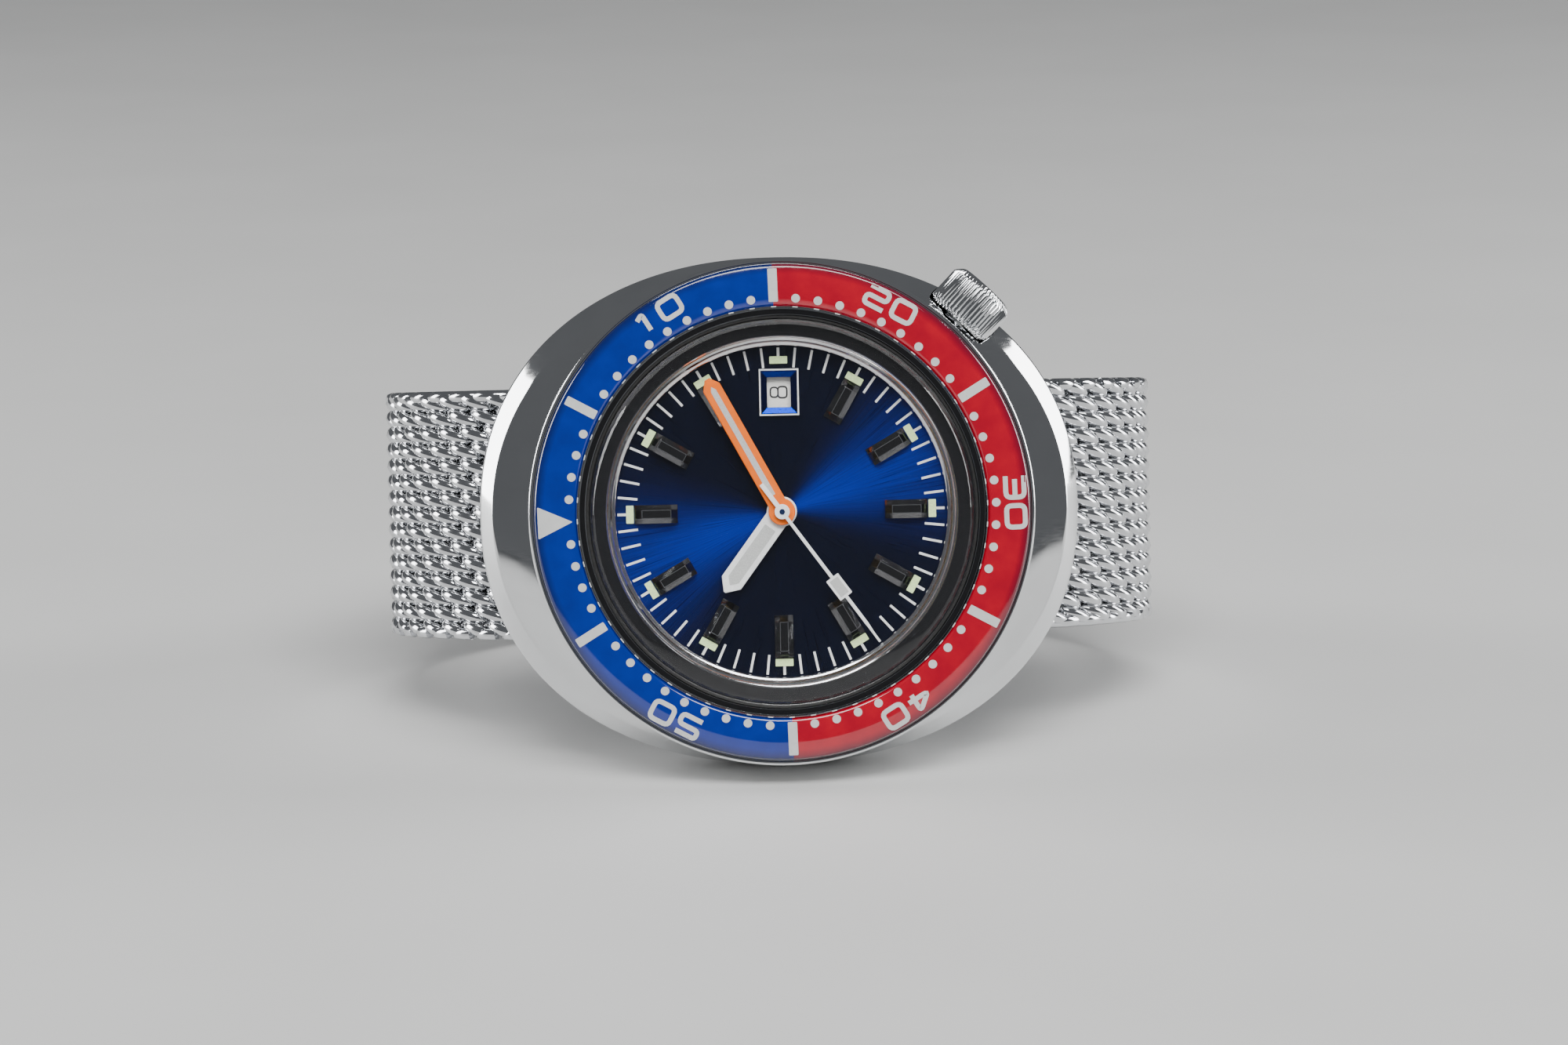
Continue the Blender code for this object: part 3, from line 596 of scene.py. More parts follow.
def grooved_loops(profile, teeth, per_tooth, groove):
    """Loops of (radius, z, depth), drawn in by groove(phase) of that depth round each tooth."""
    shares = [groove(2 * math.pi * i / per_tooth) for i in range(teeth * per_tooth)]
    loops = []
    for radius, z, depth in profile:
        loops.append([polar(radius - depth * share, 360 * i / len(shares), z)
                      for i, share in enumerate(shares)])
    return loops


def coin_groove(phase):
    return (0.5 - 0.5 * math.cos(phase)) ** 1.5


def bezel_lip(radius):
    return BEZEL_LIP_Z


def insert_top(radius):
    """Height of the insert's surface."""
    for (near, z_near), (far, z_far) in zip(INSERT_TOP, INSERT_TOP[1:]):
        if radius <= far:
            return z_near + (z_far - z_near) * max(0.0, radius - near) / (far - near)
    return INSERT_TOP[-1][1]


def around(dial_angle, radius, height):
    """Places a glyph point: x clockwise and y outwards at a dial angle, z above height(radius)."""
    out = at_dial(1, dial_angle)
    clockwise = at_dial(1, dial_angle + 90)

    def place(x, y, z):
        point = out * (radius + y) + clockwise * x
        return Vector((point.x, point.y, height(point.xy.length) + z))

    return place


def draw_number(bm, text, size, stroke, gap, place, low, high, curl=1.1):
    """Draws digits centred on the place's origin, upright along its y."""
    width, tall = size[0] - stroke, size[1] - stroke
    step = size[0] + gap
    start = -step * (len(text) - 1) / 2
    for index, digit in enumerate(text):
        left = start + index * step - width / 2
        closed = digit in CLOSED
        for number, path in enumerate(STROKES[digit]):
            points = [(left + x * width, (y - 0.5) * tall) for x, y in path]
            bend = stroke * curl
            points = rounded(points, bend) if closed else rounded_path(points, bend)
            lift = 0.004 * number
            ribbon(bm, points, stroke, place, low, high + lift, closed)


def make_bezel():
    ring = loft(grooved_loops(COIN_EDGE, COIN_TEETH, 6, coin_groove), hollow=True)
    add_piece("bezel_coin_edge", ring, "polished_steel", "bezel", ["bezel_ring"],
              matrix=BEZEL, sharp=35)
    profile = [(17.65, 2.8), (21.3, 2.8), *reversed(INSERT_TOP)]
    add_piece("bezel_insert_enamel", turned(profile, 256), "bezel_blue", "bezel", ["bezel_insert"],
              matrix=BEZEL, sharp=50)
    add_bezel_print()
    spring = ring_section(18.2, 20.0, 0.43, 0.57)
    add_piece("bezel_click_wave", turned(spring, 128), "brushed_steel", "case",
              ["bezel_click_spring"])


def add_bezel_print():
    """Minute dots, bars, numbers and the triangle at zero."""
    bm = bmesh.new()
    bar = rounded(rectangle(*BAR_HALF), 0.1)
    dot = disc_outline(0, 0, DOT_R, 24)
    for minute in range(60):
        angle = minute * 6
        if minute % 10 == 5:
            flat_shape(bm, bar, around(angle, BAR_AT, insert_top), *BEZEL_PRINT)
        elif minute:
            flat_shape(bm, dot, around(angle, DOT_AT, insert_top), *BEZEL_PRINT)
        if minute and minute % 10 == 0:
            place = around(angle, NUMBER_AT, insert_top)
            draw_number(bm, str(minute), NUMBER_SIZE, NUMBER_STROKE, NUMBER_GAP, place,
                        *BEZEL_PRINT)
    flat_shape(bm, rounded(TRIANGLE, 0.15), around(0, TRIANGLE_AT, insert_top), *BEZEL_PRINT)
    add_piece("bezel_minute_print", bm, "print_white", "bezel", slot="hand_white", matrix=BEZEL,
              sharp=50)
    dashes = bmesh.new()
    for minute in range(60):
        place = around(minute * 6, 17.57, bezel_lip)
        flat_shape(dashes, rectangle(0.22, 0.045), place, -0.03, 0.02)
    add_piece("bezel_inner_dashes", dashes, "print_white", "bezel", slot="hand_white",
              matrix=BEZEL, sharp=50)


CRYSTAL_DOME = (
    (0, 2.2), (16.46, 2.2), (16.5, 2.24), (16.5, 3.98), (16.44, 4.08), (16.05, 4.47), (15.9, 4.51),
    (12.0, 4.56), (8.0, 4.585), (4.0, 4.597), (0, 4.6),
)
REHAUT_STEPS = (
    (14.16, 0.12), (16.7, 0.12), (16.7, 2.08), (16.62, 2.12), (15.02, 2.12), (14.96, 2.05),
    (14.9, 1.6), (14.84, 1.26), (14.78, 1.2), (14.62, 1.18), (14.5, 1.05), (14.42, 0.78),
    (14.3, 0.74), (14.2, 0.66), (14.16, 0.5),
)


def make_crystal():
    dome = turned(CRYSTAL_DOME, 256)
    add_piece("crystal_dome", dome, "sapphire", "case", ["crystal"], sharp=25)
    gasket = [(16.57, 2.2), (16.83, 2.2), (16.83, 3.45), (16.78, 3.5), (16.62, 3.5), (16.57, 3.45)]
    add_piece("crystal_gasket_ring", turned(gasket), "rubber", "case", ["crystal_gasket"])
    steps = turned(REHAUT_STEPS, 256)
    add_piece("rehaut_steps", steps, "polished_steel", "case", ["rehaut_ring"], sharp=25)
    for name, section in (("rehaut_black_ring", ring_section(15.05, 16.68, 2.125, 2.17)),
                          ("case_collar_black", ring_section(16.93, 17.37, 3.605, 3.64))):
        add_piece(name, turned(section), "black_steel", "case", slot="black_steel", sharp=25)


# ---- dial, date, markers and hands -----------------------------------------------------------

DIAL_R = 14.35
DIAL_PRINT = (-0.02, 0.012)  # from below the dial's surface to above it
TICK_AT, TICK_HALF = 13.2, (0.1, 0.8)
HOUR_TICK_AT, HOUR_TICK_HALF = 13.62, (0.115, 0.36)
LUME_AT, LUME_HALF, LUME_HIGH = 12.97, (0.765, 0.3), 0.09
DATE_Y = 10.25
DATE_HOLE = (2.05, 2.6)
DATE_TODAY = 8
DATES = 31
DATE_PRINT = (-0.56, -0.535)
DATE_TALL, DATE_STROKE, DATE_GAP, DATE_CURL = 1.56, 0.14, 0.14, 2.1
DATE_WIDE = {1: 1.1, 2: 0.8}  # by the number of digits
DATE_SLOPE = (
    (1.565, 1.865, 0.06), (1.565, 1.865, 0.29), (1.5, 1.8, 0.29), (1.03, 1.31, 0.04),
    (1.03, 1.31, 0.02),
)
MARKER_HOURS = (1, 2, 4, 5, 6, 7, 8, 9, 10, 11, 12)
MARKER_SECTIONS = (  # distance from the centre, half width, height of the sides and of the middle
    (8.92, 0.8, 0.02, 0.02), (8.93, 0.8, 0.22, 0.22), (9.5, 0.8, 0.72, 0.85),
    (12.02, 0.8, 0.72, 0.85), (12.59, 0.8, 0.22, 0.22), (12.6, 0.8, 0.02, 0.02),
)
HAND_ANGLES = {"hour_hand": 306.5, "minute_hand": 61.6, "seconds_hand": 234.0}


def rectangle(half_x, half_y, middle=(0.0, 0.0)):
    x, y = middle
    return [(x - half_x, y - half_y), (x + half_x, y - half_y), (x + half_x, y + half_y),
            (x - half_x, y + half_y)]


def upright(x, y, z):
    return Vector((x, y, z))


def window_loops(sections):
    """Rectangles round the date window, from (half length, half width, z)."""
    return [[Vector((*point, z)) for point in rectangle(half_x, half_y, (0, DATE_Y))]
            for half_x, half_y, z in sections]


def make_dial():
    plate = [(0.98, -0.4), (DIAL_R, -0.4), (DIAL_R, -0.03), (DIAL_R - 0.03, 0.0), (1.02, 0.0),
             (0.98, -0.04)]
    dial = add_piece("dial_plate", turned(plate, 256), "dial_blue", "case", ["dial"], sharp=40)
    hole = rounded(rectangle(DATE_HOLE[0] / 2, DATE_HOLE[1] / 2, (0, DATE_Y)), 0.05)
    bm = bmesh.new()
    flat_shape(bm, hole, upright, -1.0, 1.0)
    cut(dial, bm)
    ticks = bmesh.new()
    for minute in range(60):
        at, half = (TICK_AT, TICK_HALF) if minute % 5 else (HOUR_TICK_AT, HOUR_TICK_HALF)
        flat_shape(ticks, rectangle(*half), around(minute * 6, at, flat_dial), *DIAL_PRINT)
    add_piece("dial_minute_ticks", ticks, "print_white", "case", slot="hand_white")
    blocks = bmesh.new()
    for hour in range(12):
        block = rounded(rectangle(*LUME_HALF), 0.06)
        flat_shape(blocks, block, around(hour * 30, LUME_AT, flat_dial), -0.02, LUME_HIGH)
    add_piece("dial_lume_blocks", blocks, "lume_green", "case", slot="hand_white")


def flat_dial(radius):
    return 0.0


def make_date():
    ring = [(8.3, -0.85), (12.4, -0.85), (12.4, -0.57), (12.38, -0.55), (8.32, -0.55), (8.3, -0.57)]
    add_piece("date_disc_ring", turned(ring), "date_white", "date_disc", ["date_disc"], sharp=40)
    bm = bmesh.new()
    for day in range(1, DATES + 1):
        out = turn_z((day - DATE_TODAY) * 360 / DATES)

        def place(x, y, z, out=out):
            return out @ Vector((-y, DATE_Y + x, z))

        size = (DATE_WIDE[len(str(day))], DATE_TALL)
        draw_number(bm, str(day), size, DATE_STROKE, DATE_GAP, place, *DATE_PRINT, DATE_CURL)
    add_piece("date_disc_numbers", bm, "print_black", "date_disc", slot="black_steel")
    border = loft(window_loops(((1.7, 2.0, 0.06), (1.7, 2.0, 0.3), (1.57, 1.87, 0.3),
                                (1.57, 1.87, 0.06))), hollow=True)
    add_piece("date_window_border", border, "print_white", "case", ["date_frame"])
    slope = window_loops(DATE_SLOPE)
    add_piece("date_window_slope", loft(slope, hollow=True), "window_blue", "case",
              slot="dial_blue", sharp=20)


def make_markers():
    """Faceted batons: three long facets, sloping ends, a bright edge round the middle one."""
    rims = bmesh.new()
    for hour in MARKER_HOURS:
        loops = []
        place = around(hour * 30, 0, flat_dial)
        for radius, half, side_z, middle_z in MARKER_SECTIONS:
            rising = [(half, 0.0), (half, side_z * 0.8), (half * 0.45, middle_z)]
            corners = [(-x, z) for x, z in rising] + rising[::-1]
            loops.append([place(x, radius, z) for x, z in corners])
        baton = add_piece(f"hour_marker_{hour:02d}_baton", loft(loops), "dark_chrome", "case",
                          [f"hour_marker_{hour:02d}"], sharp=10)
        soften(baton, 0.04, 10, 1)
        loops = []
        for grow, z in ((0.01, 0.8), (0.01, 0.87), (-0.05, 0.87), (-0.05, 0.8)):
            ring = rounded(rectangle(0.36 + grow, 1.26 + grow, (0, 10.76)), 0.06 + grow)
            loops.append([place(x, y, z) for x, y in ring])
        loft(loops, hollow=True, bm=rims)
    add_piece("hour_marker_rims", rims, "polished_steel", "case", slot="polished_steel", sharp=40)


def hand_outline(hub, half, shoulder, tip, tip_half, count=48):
    """A round hub at the origin and a straight blade along +x with a tapered tip."""
    start = math.asin(half / hub)
    sweep = 2 * math.pi - 2 * start
    arc = [polar(hub, math.degrees(start + sweep * i / count)) for i in range(count + 1)]
    outline = [(point.x, point.y) for point in arc]
    return outline + [(shoulder, -half), (tip, -tip_half), (tip, tip_half), (shoulder, half)]


def domed_plate(outline, low, high, edge):
    """A thin plate with its upper edge broken by a small slope."""
    loops = []
    ring = [Vector(point) for point in outline]
    for shrink, z in ((0.0, low), (0.0, high - edge), (edge, high)):
        loop = []
        for i, point in enumerate(ring):
            run = (ring[(i + 1) % len(ring)] - ring[i - 1]).normalized()
            point = point + Vector((-run.y, run.x)) * shrink
            loop.append(Vector((point.x, point.y, z)))
        loops.append(loop)
    return loft(loops)


def hand_matrix(name):
    return WATCH @ turn_z(180 - HAND_ANGLES[name])


def strip_outline(start, shoulder, tip, half, corner):
    points = [(start, -half), (shoulder, -half), (tip, 0), (shoulder, half), (start, half)]
    return rounded(points, corner)


def make_hands():
    for name, outline, low, high, look in (
        ("hour_hand", hand_outline(1.3, 1.0, 7.5, 8.5, 0.1), 0.72, 0.95, "hand_white"),
        ("minute_hand", hand_outline(1.15, 0.8, 12.25, 13.0, 0.22), 1.15, 1.38, "hand_orange"),
    ):
        add_piece(f"{name}_blade", domed_plate(outline, low, high, 0.05), look, name, [name],
                  matrix=hand_matrix(name), sharp=20)
    for name, outline, top in (
        ("hour_hand", strip_outline(1.7, 7.15, 7.75, 0.55, 0.08), 0.95),
        ("minute_hand", strip_outline(1.6, 11.9, 12.3, 0.25, 0.05), 1.38),
    ):
        bm = bmesh.new()
        flat_shape(bm, outline, upright, top - 0.06, top + 0.025)
        add_piece(f"{name}_lume", bm, "lume_grey", name, slot="hand_white",
                  matrix=hand_matrix(name))
    make_seconds_hand()


def make_seconds_hand():
    matrix = hand_matrix("seconds_hand")
    needle = domed_plate(hand_outline(0.65, 0.15, 12.0, 13.2, 0.05), 1.55, 1.75, 0.03)
    box = rounded(rectangle(1.025, 0.63, (8.1, 0)), 0.08)
    flat_shape(needle, box, upright, 1.545, 1.765)
    tail = rounded([(-2.97, -0.2), (-0.4, -0.2), (-0.4, 0.2), (-2.97, 0.2)], 0.06)
    flat_shape(needle, tail, upright, 1.553, 1.745)
    add_piece("seconds_hand_needle", needle, "hand_white", "seconds_hand", ["seconds_hand"],
              matrix=matrix, sharp=20)
    lume = bmesh.new()
    flat_shape(lume, rounded(rectangle(0.82, 0.42, (8.1, 0)), 0.05), upright, 1.7, 1.785)
    add_piece("seconds_hand_lume", lume, "lume_grey", "seconds_hand", slot="hand_white",
              matrix=matrix)
    pin = turned([(0, 1.6), (0.24, 1.6), (0.24, 1.81), (0.2, 1.84), (0, 1.85)], 48)
    add_piece("seconds_hand_pin", pin, "pin_blue", "seconds_hand", slot="black_steel",
              matrix=matrix)


CROWN_FLUTES = 46
CROWN_HOLLOW_Z = 24.9
CROWN_TOP_Z = 26.31
CROWN_PROFILE = (
    (2.0, CROWN_HOLLOW_Z, 0), (2.0, 22.45, 0), (2.75, 22.42, 0), (2.85, 22.6, 0.05),
    (3.1, 22.8, 0.33), (3.1, 25.6, 0.33), (2.98, 25.8, 0.24), (2.72, 26.08, 0.03),
    (2.55, 26.24, 0.0), (2.42, 26.3, 0), (2.3, CROWN_TOP_Z, 0), (2.2, 26.26, 0), (1.2, 26.3, 0),
)


def crown_flute(phase):
    return 0.5 + 0.5 * math.cos(phase)


def make_crown():
    loops = grooved_loops(CROWN_PROFILE, CROWN_FLUTES, 8, crown_flute)
    loops = [[Vector((0, 0, CROWN_HOLLOW_Z))], *loops, [Vector((0, 0, CROWN_TOP_Z))]]
    place = crown_frame()
    matrix = WATCH @ Matrix.LocRotScale(place.translation * MM, place.to_quaternion(), None)
    add_piece("crown_fluted", loft(loops), "polished_steel", "crown", ["crown"], matrix=matrix,
              sharp=35)


def finish_inner_nodes():
    """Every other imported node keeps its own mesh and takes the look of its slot."""
    for node, slot in SLOTS.items():
        packed = frame["nodes"][node]
        packed.data.materials.clear()
        packed.data.materials.append(LOOKS[slot])


# ---- mesh bracelet ---------------------------------------------------------------------------

BAND_END_X = 11.2
BAND_SEGMENTS = 5
COIL_STEP = 1.44
COIL_PITCH = 2.88
COIL_ALONG = 1.62
COIL_HIGH = 1.0
WIRE_R = 0.55
POINTS_PER_TURN = 18
WIRE_SIDES = 8
EDGE_TURN = 0.45
FIRST_COIL = 2.6  # along the line from the spring bar
LAST_COIL = 3.9  # along the line before the clasp's hinge
LINE_STEPS = 4000
LINE_MARGIN = 0.1  # radians that the line runs on past its first and last joints


def loop_point(t):
    return Vector((LOOP_HALF_LENGTH * math.cos(t), 0,
                   LOOP_CENTRE_Z + LOOP_HALF_DEPTH * math.sin(t)))


def joint_angles():
    """Ellipse angles of the bracelet's hinges, from the spring bar to the clasp."""
    start = math.acos(SPRING_BAR_X / LOOP_HALF_LENGTH)
    end = -math.acos(BAND_END_X / LOOP_HALF_LENGTH)
    return [start + (end - start) * i / BAND_SEGMENTS for i in range(BAND_SEGMENTS + 1)]


class BandLine:
    """The bracelet's middle line on one side, by distance from the spring bar."""

    def __init__(self, side):
        self.side = side
        angles = joint_angles()
        start = angles[0] + LINE_MARGIN
        sweep = angles[-1] - angles[0] - 2 * LINE_MARGIN
        self.t = [start + sweep * i / LINE_STEPS for i in range(LINE_STEPS + 1)]
        self.s = [0.0]
        for first, last in zip(self.t, self.t[1:]):
            self.s.append(self.s[-1] + (loop_point(last) - loop_point(first)).length)
        zero = self.distance(angles[0])
        self.s = [s - zero for s in self.s]
        self.joints = [self.distance(angle) for angle in angles]

    def distance(self, t):
        place = (t - self.t[0]) / (self.t[-1] - self.t[0]) * LINE_STEPS
        index = min(LINE_STEPS - 1, max(0, int(place)))
        return self.s[index] + (place - index) * (self.s[index + 1] - self.s[index])

    def at(self, s, across=0.0, outward=0.0):
        place = bisect.bisect_left(self.s, s)
        index = min(LINE_STEPS - 1, max(0, place - 1))
        share = (s - self.s[index]) / (self.s[index + 1] - self.s[index])
        t = self.t[index] + share * (self.t[index + 1] - self.t[index])
        normal = Vector((LOOP_HALF_DEPTH * math.cos(t), 0, LOOP_HALF_LENGTH * math.sin(t)))
        point = loop_point(t) + normal.normalized() * outward
        return Vector((self.side * point.x, across, point.z))


def sweep_wire(verts, faces, path):
    """Adds a closed round wire along a path of points."""
    across = Vector((0, 1, 0))
    base = len(verts)
    for i, point in enumerate(path):
        run = (path[min(i + 1, len(path) - 1)] - path[max(i - 1, 0)]).normalized()
        first = run.cross(across).normalized()
        second = run.cross(first)
        for j in range(WIRE_SIDES):
            angle = 2 * math.pi * j / WIRE_SIDES
            verts.append(point + (first * math.cos(angle) + second * math.sin(angle)) * WIRE_R)
    for i in range(len(path) - 1):
        for j in range(WIRE_SIDES):
            a = base + i * WIRE_SIDES + j
            b = base + i * WIRE_SIDES + (j + 1) % WIRE_SIDES
            faces.append((a, b, b + WIRE_SIDES, a + WIRE_SIDES))
    last = base + (len(path) - 1) * WIRE_SIDES
    faces.append([base + j for j in reversed(range(WIRE_SIDES))])
    faces.append([last + j for j in range(WIRE_SIDES)])


def coil_path(line, s, offset):
    """One coil across the width: the wire winds about an axis that lies across the bracelet."""
    reach = BAND_HALF_WIDTH - WIRE_R
    turns = 2 * reach / COIL_PITCH + 2 * EDGE_TURN
    count = round(turns * POINTS_PER_TURN)
    path = []
    for i in range(count + 1):
        along_coil = (i / count - 0.5) * turns * COIL_PITCH
        across = max(-reach, min(reach, along_coil))
        phase = 2 * math.pi * (along_coil + offset) / COIL_PITCH
        lean = -line.side * COIL_ALONG * math.sin(phase)
        path.append(line.at(s + lean, across, COIL_HIGH * math.cos(phase)))
    return path


def coils_shape(line, coils):
    """The mesh of some coils, each given as (number, distance along the line)."""
    verts, faces = [], []
    for number, s in coils:
        sweep_wire(verts, faces, coil_path(line, s, number % 2 * COIL_PITCH / 2))
    mesh = bpy.data.meshes.new("coils")
    mesh.from_pydata(verts, [], faces)
    bm = bmesh.new()
    bm.from_mesh(mesh)
    bpy.data.meshes.remove(mesh)
    bmesh.ops.recalc_face_normals(bm, faces=bm.faces)
    return bm


def make_band(side, hour):
    """Half the mesh, cut midway between hinges: the end pieces ride on their bodies, the pieces
    between ride on none.
    """
    line = BandLine(side)
    joints = line.joints
    middles = [(a + b) / 2 for a, b in zip(joints, joints[1:])]
    end = joints[-1] - LAST_COIL
    borders = [joints[0] + FIRST_COIL] + middles + [end]
    count = round((end - borders[0]) / COIL_STEP)
    step = (end - borders[0]) / count
    nearly = 1e-6
    for piece in range(BAND_SEGMENTS + 1):
        is_last = piece == BAND_SEGMENTS
        coils = [(number, borders[0] + number * step) for number in range(count + 1)]
        coils = [(number, s) for number, s in coils if borders[piece] <= s + nearly
                 and (s < borders[piece + 1] - nearly or is_last)]
        bm = coils_shape(line, coils)
        body = f"band_{hour}_{min(piece + 1, BAND_SEGMENTS)}"
        replaced = [] if is_last else [body]
        name = f"band_{hour}_mesh_{piece + 1}"
        if piece in (0, BAND_SEGMENTS):
            add_piece(name, bm, "mesh_steel", body, replaced, "polished_steel", sharp=60)
        else:
            add_bending(name, bm, line, middles[piece - 1 : piece + 1], replaced)


def add_bending(name, bm, line, ends, replaced):
    """A length of mesh across the hinge between two bodies, baked in place; it rides on neither
    body.
    """
    piece = add_piece(name, bm, "mesh_steel", None, sharp=60)
    start, end = (WATCH @ (line.at(s) * MM) for s in ends)
    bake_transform(piece)
    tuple(start)
    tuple(end)
    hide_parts(*replaced)


SLEEVE_HALF = 10.95
SPRING_BAR_PROFILE = (
    (0, -12.9), (0.55, -12.9), (0.6, -12.85), (0.6, -11.3), (0.75, -11.2),
    (0.75, 11.2), (0.6, 11.3), (0.6, 12.85), (0.55, 12.9), (0, 12.9),
)
END_PLATE_FROM, END_PLATE_TO = 1.05, 2.55  # along the line before the clasp's hinge
EAR_INNER, EAR_OUTER = 9.4, 10.6


def make_band_ends():
    """The rolled sleeve on each spring bar, and the plates that grip the mesh at the clasp."""
    for side, hour in ((-1, 12), (1, 6)):
        x, z = side * SPRING_BAR_X, spring_bar_z()
        sleeve = lying_tube(disc_outline(x, z, 1.45), disc_outline(x, z, 0.85), SLEEVE_HALF)
        piece = add_piece(f"band_{hour}_sleeve", sleeve, "mesh_steel", f"band_{hour}_1",
                          slot="polished_steel")
        soften(piece, 0.08, 40)
        bar = turned(SPRING_BAR_PROFILE, 32)
        lie = Matrix.Translation((x, 0, z)) @ Matrix.Rotation(math.radians(90), 4, "X")
        add_piece(f"spring_bar_{hour}_pin", moved(bar, lie), "brushed_steel", "case",
                  [f"spring_bar_{hour}"])
        plate = add_piece(f"band_{hour}_end_plate", end_plate(side), "polished_steel",
                          f"band_{hour}_5", slot="polished_steel")
        soften(plate, 0.1, 30)


def end_plate(side):
    """A flat box that grips the mesh, with ears or a knuckle for the clasp."""
    line = BandLine(side)
    near, far = END_PLATE_FROM, END_PLATE_TO
    half_outline = [(far, 1.4), (far - 0.25, 1.62), (near + 0.2, 1.62), (near, 1.4)]
    outline = []
    for s, outward in half_outline + [(s, -outward) for s, outward in reversed(half_outline)]:
        point = line.at(line.joints[-1] - s, 0, outward)
        outline.append((point.x, point.z))
    plate = side_prism(outline, -SLEEVE_HALF, SLEEVE_HALF)
    hinge = line.at(line.joints[-1])
    reach = line.at(line.joints[-1] - 1.4)
    if side > 0:
        for low, high in ((-EAR_OUTER, -EAR_INNER), (EAR_INNER, EAR_OUTER)):
            side_prism(link_outline(hinge.xz, reach.xz, 0.8), low, high, plate)
    else:
        side_prism(link_outline(hinge.xz, reach.xz, 0.75), -EAR_OUTER, EAR_OUTER, plate)
        side_prism(disc_outline(hinge.x, hinge.z, 0.4), -11.35, 11.35, plate)
    return plate


def link_outline(first, second, radius, count=32):
    """A rounded (x, z) outline round two points."""
    run = second - first
    heading = math.atan2(run.y, run.x)
    points = []
    for centre, start in ((second, heading - math.pi / 2), (first, heading + math.pi / 2)):
        for i in range(count // 2 + 1):
            angle = start + 2 * math.pi * i / count
            points.append((centre.x + radius * math.cos(angle),
                           centre.y + radius * math.sin(angle)))
    return points


CLASP_HINGE_X = 8.6
CLASP_HINGE_Z = -48.75
CLASP_OUT_Z = -50.9
CLASP_HALF_LENGTH = 10.4
CLASP_HALF_WIDTH = 11.5
BLADE_HALF_WIDTH = 3.8


def block_outline(x_low, x_high, z_low, z_high, radius):
    middle = ((x_low + x_high) / 2, (z_low + z_high) / 2)
    return rounded(rectangle((x_high - x_low) / 2, (z_high - z_low) / 2, middle), radius)


def make_clasp():
    """Folding clasp: cover outside, blade between, base plate by the wrist."""
    hinge_in = Vector((-CLASP_HINGE_X, CLASP_HINGE_Z))
    hinge_out = Vector((CLASP_HINGE_X, CLASP_HINGE_Z))
    line = BandLine(1)
    end = line.at(line.joints[-1])
    out_z, length, width = CLASP_OUT_Z, CLASP_HALF_LENGTH, CLASP_HALF_WIDTH
    cover = side_prism(block_outline(-length, length, out_z, out_z + 0.8, 0.35), -width, width)
    for side in (-1, 1):
        low, high = sorted((side * (width - 0.7), side * width))
        side_prism(block_outline(-length, length, out_z + 0.02, -47.6, 0.5), low, high, cover)
        low, high = sorted((side * 11.06, side * (width - 0.01)))
        pivot = Vector((-end.x, end.z))
        side_prism(link_outline(pivot, pivot + Vector((1.6, -0.6)), 0.85), low, high, cover)
        low, high = sorted((side * 4.02, side * 4.98))
        side_prism(link_outline(hinge_out, hinge_out + Vector((0, -1.4)), 0.8), low, high, cover)
    cover = add_piece("clasp_cover_shell", cover, "polished_steel", "clasp_cover", ["clasp_cover"],
                      sharp=32)
    soften(cover, 0.14, 32, 3)
    make_clasp_inside(hinge_in, hinge_out, end)


def make_clasp_inside(hinge_in, hinge_out, end):
    base = side_prism(block_outline(-9.4, end.x, -47.8, -47.1, 0.25), -5, 5)
    side_prism(disc_outline(end.x, end.z, 0.8), -9.2, 9.2, base)
    side_prism(disc_outline(end.x, end.z, 0.4), -10.4, 10.4, base)
    for low, high in ((-4.98, -4.02), (4.02, 4.98)):
        side_prism(link_outline(hinge_in, hinge_in + Vector((0, 1.3)), 0.8), low, high, base)
    base = add_piece("clasp_base_plate", base, "brushed_steel", "clasp_base", ["clasp_base"],
                     sharp=32)
    soften(base, 0.1, 32)
    outline = block_outline(-CLASP_HINGE_X, CLASP_HINGE_X, -49.1, -48.4, 0.2)
    blade = side_prism(outline, -BLADE_HALF_WIDTH, BLADE_HALF_WIDTH)
    for hinge in (hinge_in, hinge_out):
        knuckle = disc_outline(hinge.x, hinge.y, 0.62)
        side_prism(knuckle, -BLADE_HALF_WIDTH, BLADE_HALF_WIDTH, blade)
        side_prism(disc_outline(hinge.x, hinge.y, 0.4), -4.9, 4.9, blade)
    blade = add_piece("clasp_blade_link", blade, "brushed_steel", "clasp_blade", ["clasp_blade"],
                      sharp=32)
    soften(blade, 0.08, 32)


CASE_BACK_PROFILE = (
    (0, -8.8), (9.9, -8.8), (10.0, -8.7), (10.3, -8.7), (10.4, -8.8), (16.45, -8.8), (17.1, -8.36),
    (17.2, -8.2), (17.2, -7.76), (17.16, -7.72), (15.1, -7.72), (15.1, -6.4), (14.4, -6.4),
    (14.4, -7.4), (0, -7.4),
)


def make_case_back():
    """Screwed case back with a turned ring and six wrench notches."""
    back = turned(CASE_BACK_PROFILE)
    back = add_piece("case_back_cover", back, "back_steel", "case", ["case_back"], sharp=25)
    corners = rectangle(0.7, 1.3, (0, 16.2))
    for i in range(6):
        notch = loft([[turn_z(60 * i) @ Vector((x, y, z)) for x, y in corners]
                      for z in (-9.5, -8.35)])
        cut(back, notch)
    soften(back, 0.06, 25)


def lying_tube(outer, inner, half):
    """A tube lying along y between -half and half, from two (x, z) outlines."""
    loops = [[Vector((x, y, z)) for x, z in ring] for ring, y in
             ((outer, -half), (outer, half), (inner, half), (inner, -half))]
    return loft(loops, hollow=True)


# ---- floor, light and camera ------------------------------------------------------------------


FLOOR_PALE = (0.72, 0.72, 0.71)
FLOOR_SHADE = (0.69, 0.69, 0.68)


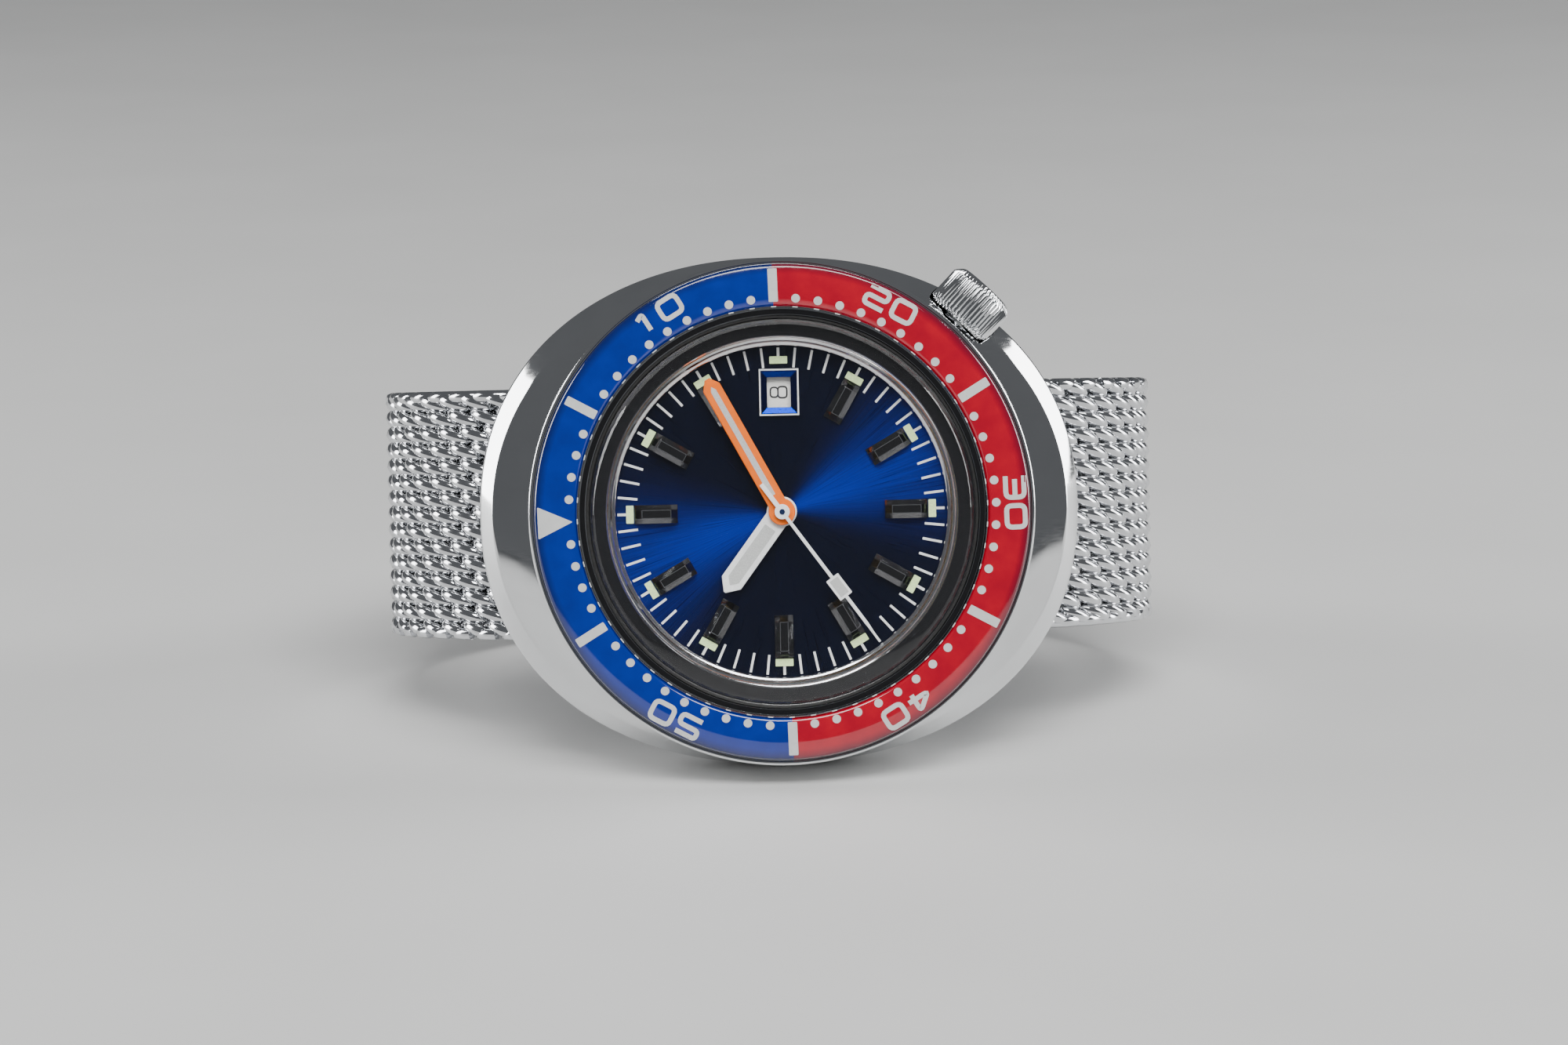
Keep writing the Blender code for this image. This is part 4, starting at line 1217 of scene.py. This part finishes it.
def pale_floor():
    look = Look("floor_pale", FLOOR_PALE, 0.55)
    cloud = look.span(look.noise(30.0, 4.0), 0.0, 1.0)
    look.link(look.mix(cloud, FLOOR_PALE, FLOOR_SHADE), "Base Color")
    return look.material


def make_floor():
    bm = bmesh.new()
    bmesh.ops.create_grid(bm, x_segments=1, y_segments=1, size=8.0)
    mesh = bpy.data.meshes.new("floor")
    bm.to_mesh(mesh)
    bm.free()
    mesh.materials.append(pale_floor())
    new_object("floor", mesh)


def add_area(name, place, aim, size, power):
    data = bpy.data.lights.new(name, "AREA")
    data.shape = "RECTANGLE"
    data.size, data.size_y = size
    data.energy = power
    light = new_object(name, data)
    light.location = place
    light.rotation_euler = (Vector(aim) - Vector(place)).to_track_quat("-Z", "Y").to_euler()


def make_light():
    world = bpy.data.worlds.new("studio")
    world.use_nodes = True
    back = world.node_tree.nodes["Background"]
    back.inputs["Color"].default_value = (0.92, 0.95, 1.0, 1.0)
    back.inputs["Strength"].default_value = 0.13
    bpy.context.scene.world = world
    centre = (0.0, -0.02, 0.022)
    add_area("side_left", (-0.55, 0.12, 0.12), centre, (0.22, 0.50), 3.4)
    add_area("side_right", (0.55, 0.10, 0.14), centre, (0.22, 0.50), 3.4)
    add_area("top_front", (0.05, -0.42, 0.62), centre, (0.55, 0.30), 6.0)


LENS_MM = 106.4
SENSOR_MM = 36.0
CAMERA_MM = 400.0
CAMERA_TURN = Vector((1.44, 2.35, 1.24))
CAMERA_SHIFT_MM = Vector((-0.258, 0.978, 0.0))


def make_camera():
    """Straight at the dial from 400 mm, turned by the small angles at which the watch was seen."""
    data = bpy.data.cameras.new("camera")
    data.lens = LENS_MM
    data.sensor_width = SENSOR_MM
    data.clip_start = 0.01
    camera = new_object("camera", data)
    angle = math.radians(CAMERA_TURN.length)
    turn = Matrix.Rotation(angle, 4, CAMERA_TURN.normalized()).inverted()
    place = turn @ (Vector((0, 0, CAMERA_MM)) - CAMERA_SHIFT_MM)
    camera.matrix_world = WATCH @ Matrix.Translation(place * MM) @ turn
    bpy.context.scene.camera = camera


make_case()
make_bezel()
make_crystal()
make_dial()
make_date()
make_markers()
make_hands()
make_crown()
finish_inner_nodes()
make_band(-1, 12)
make_band(1, 6)
make_band_ends()
make_clasp()
make_case_back()
make_floor()
make_light()
make_camera()
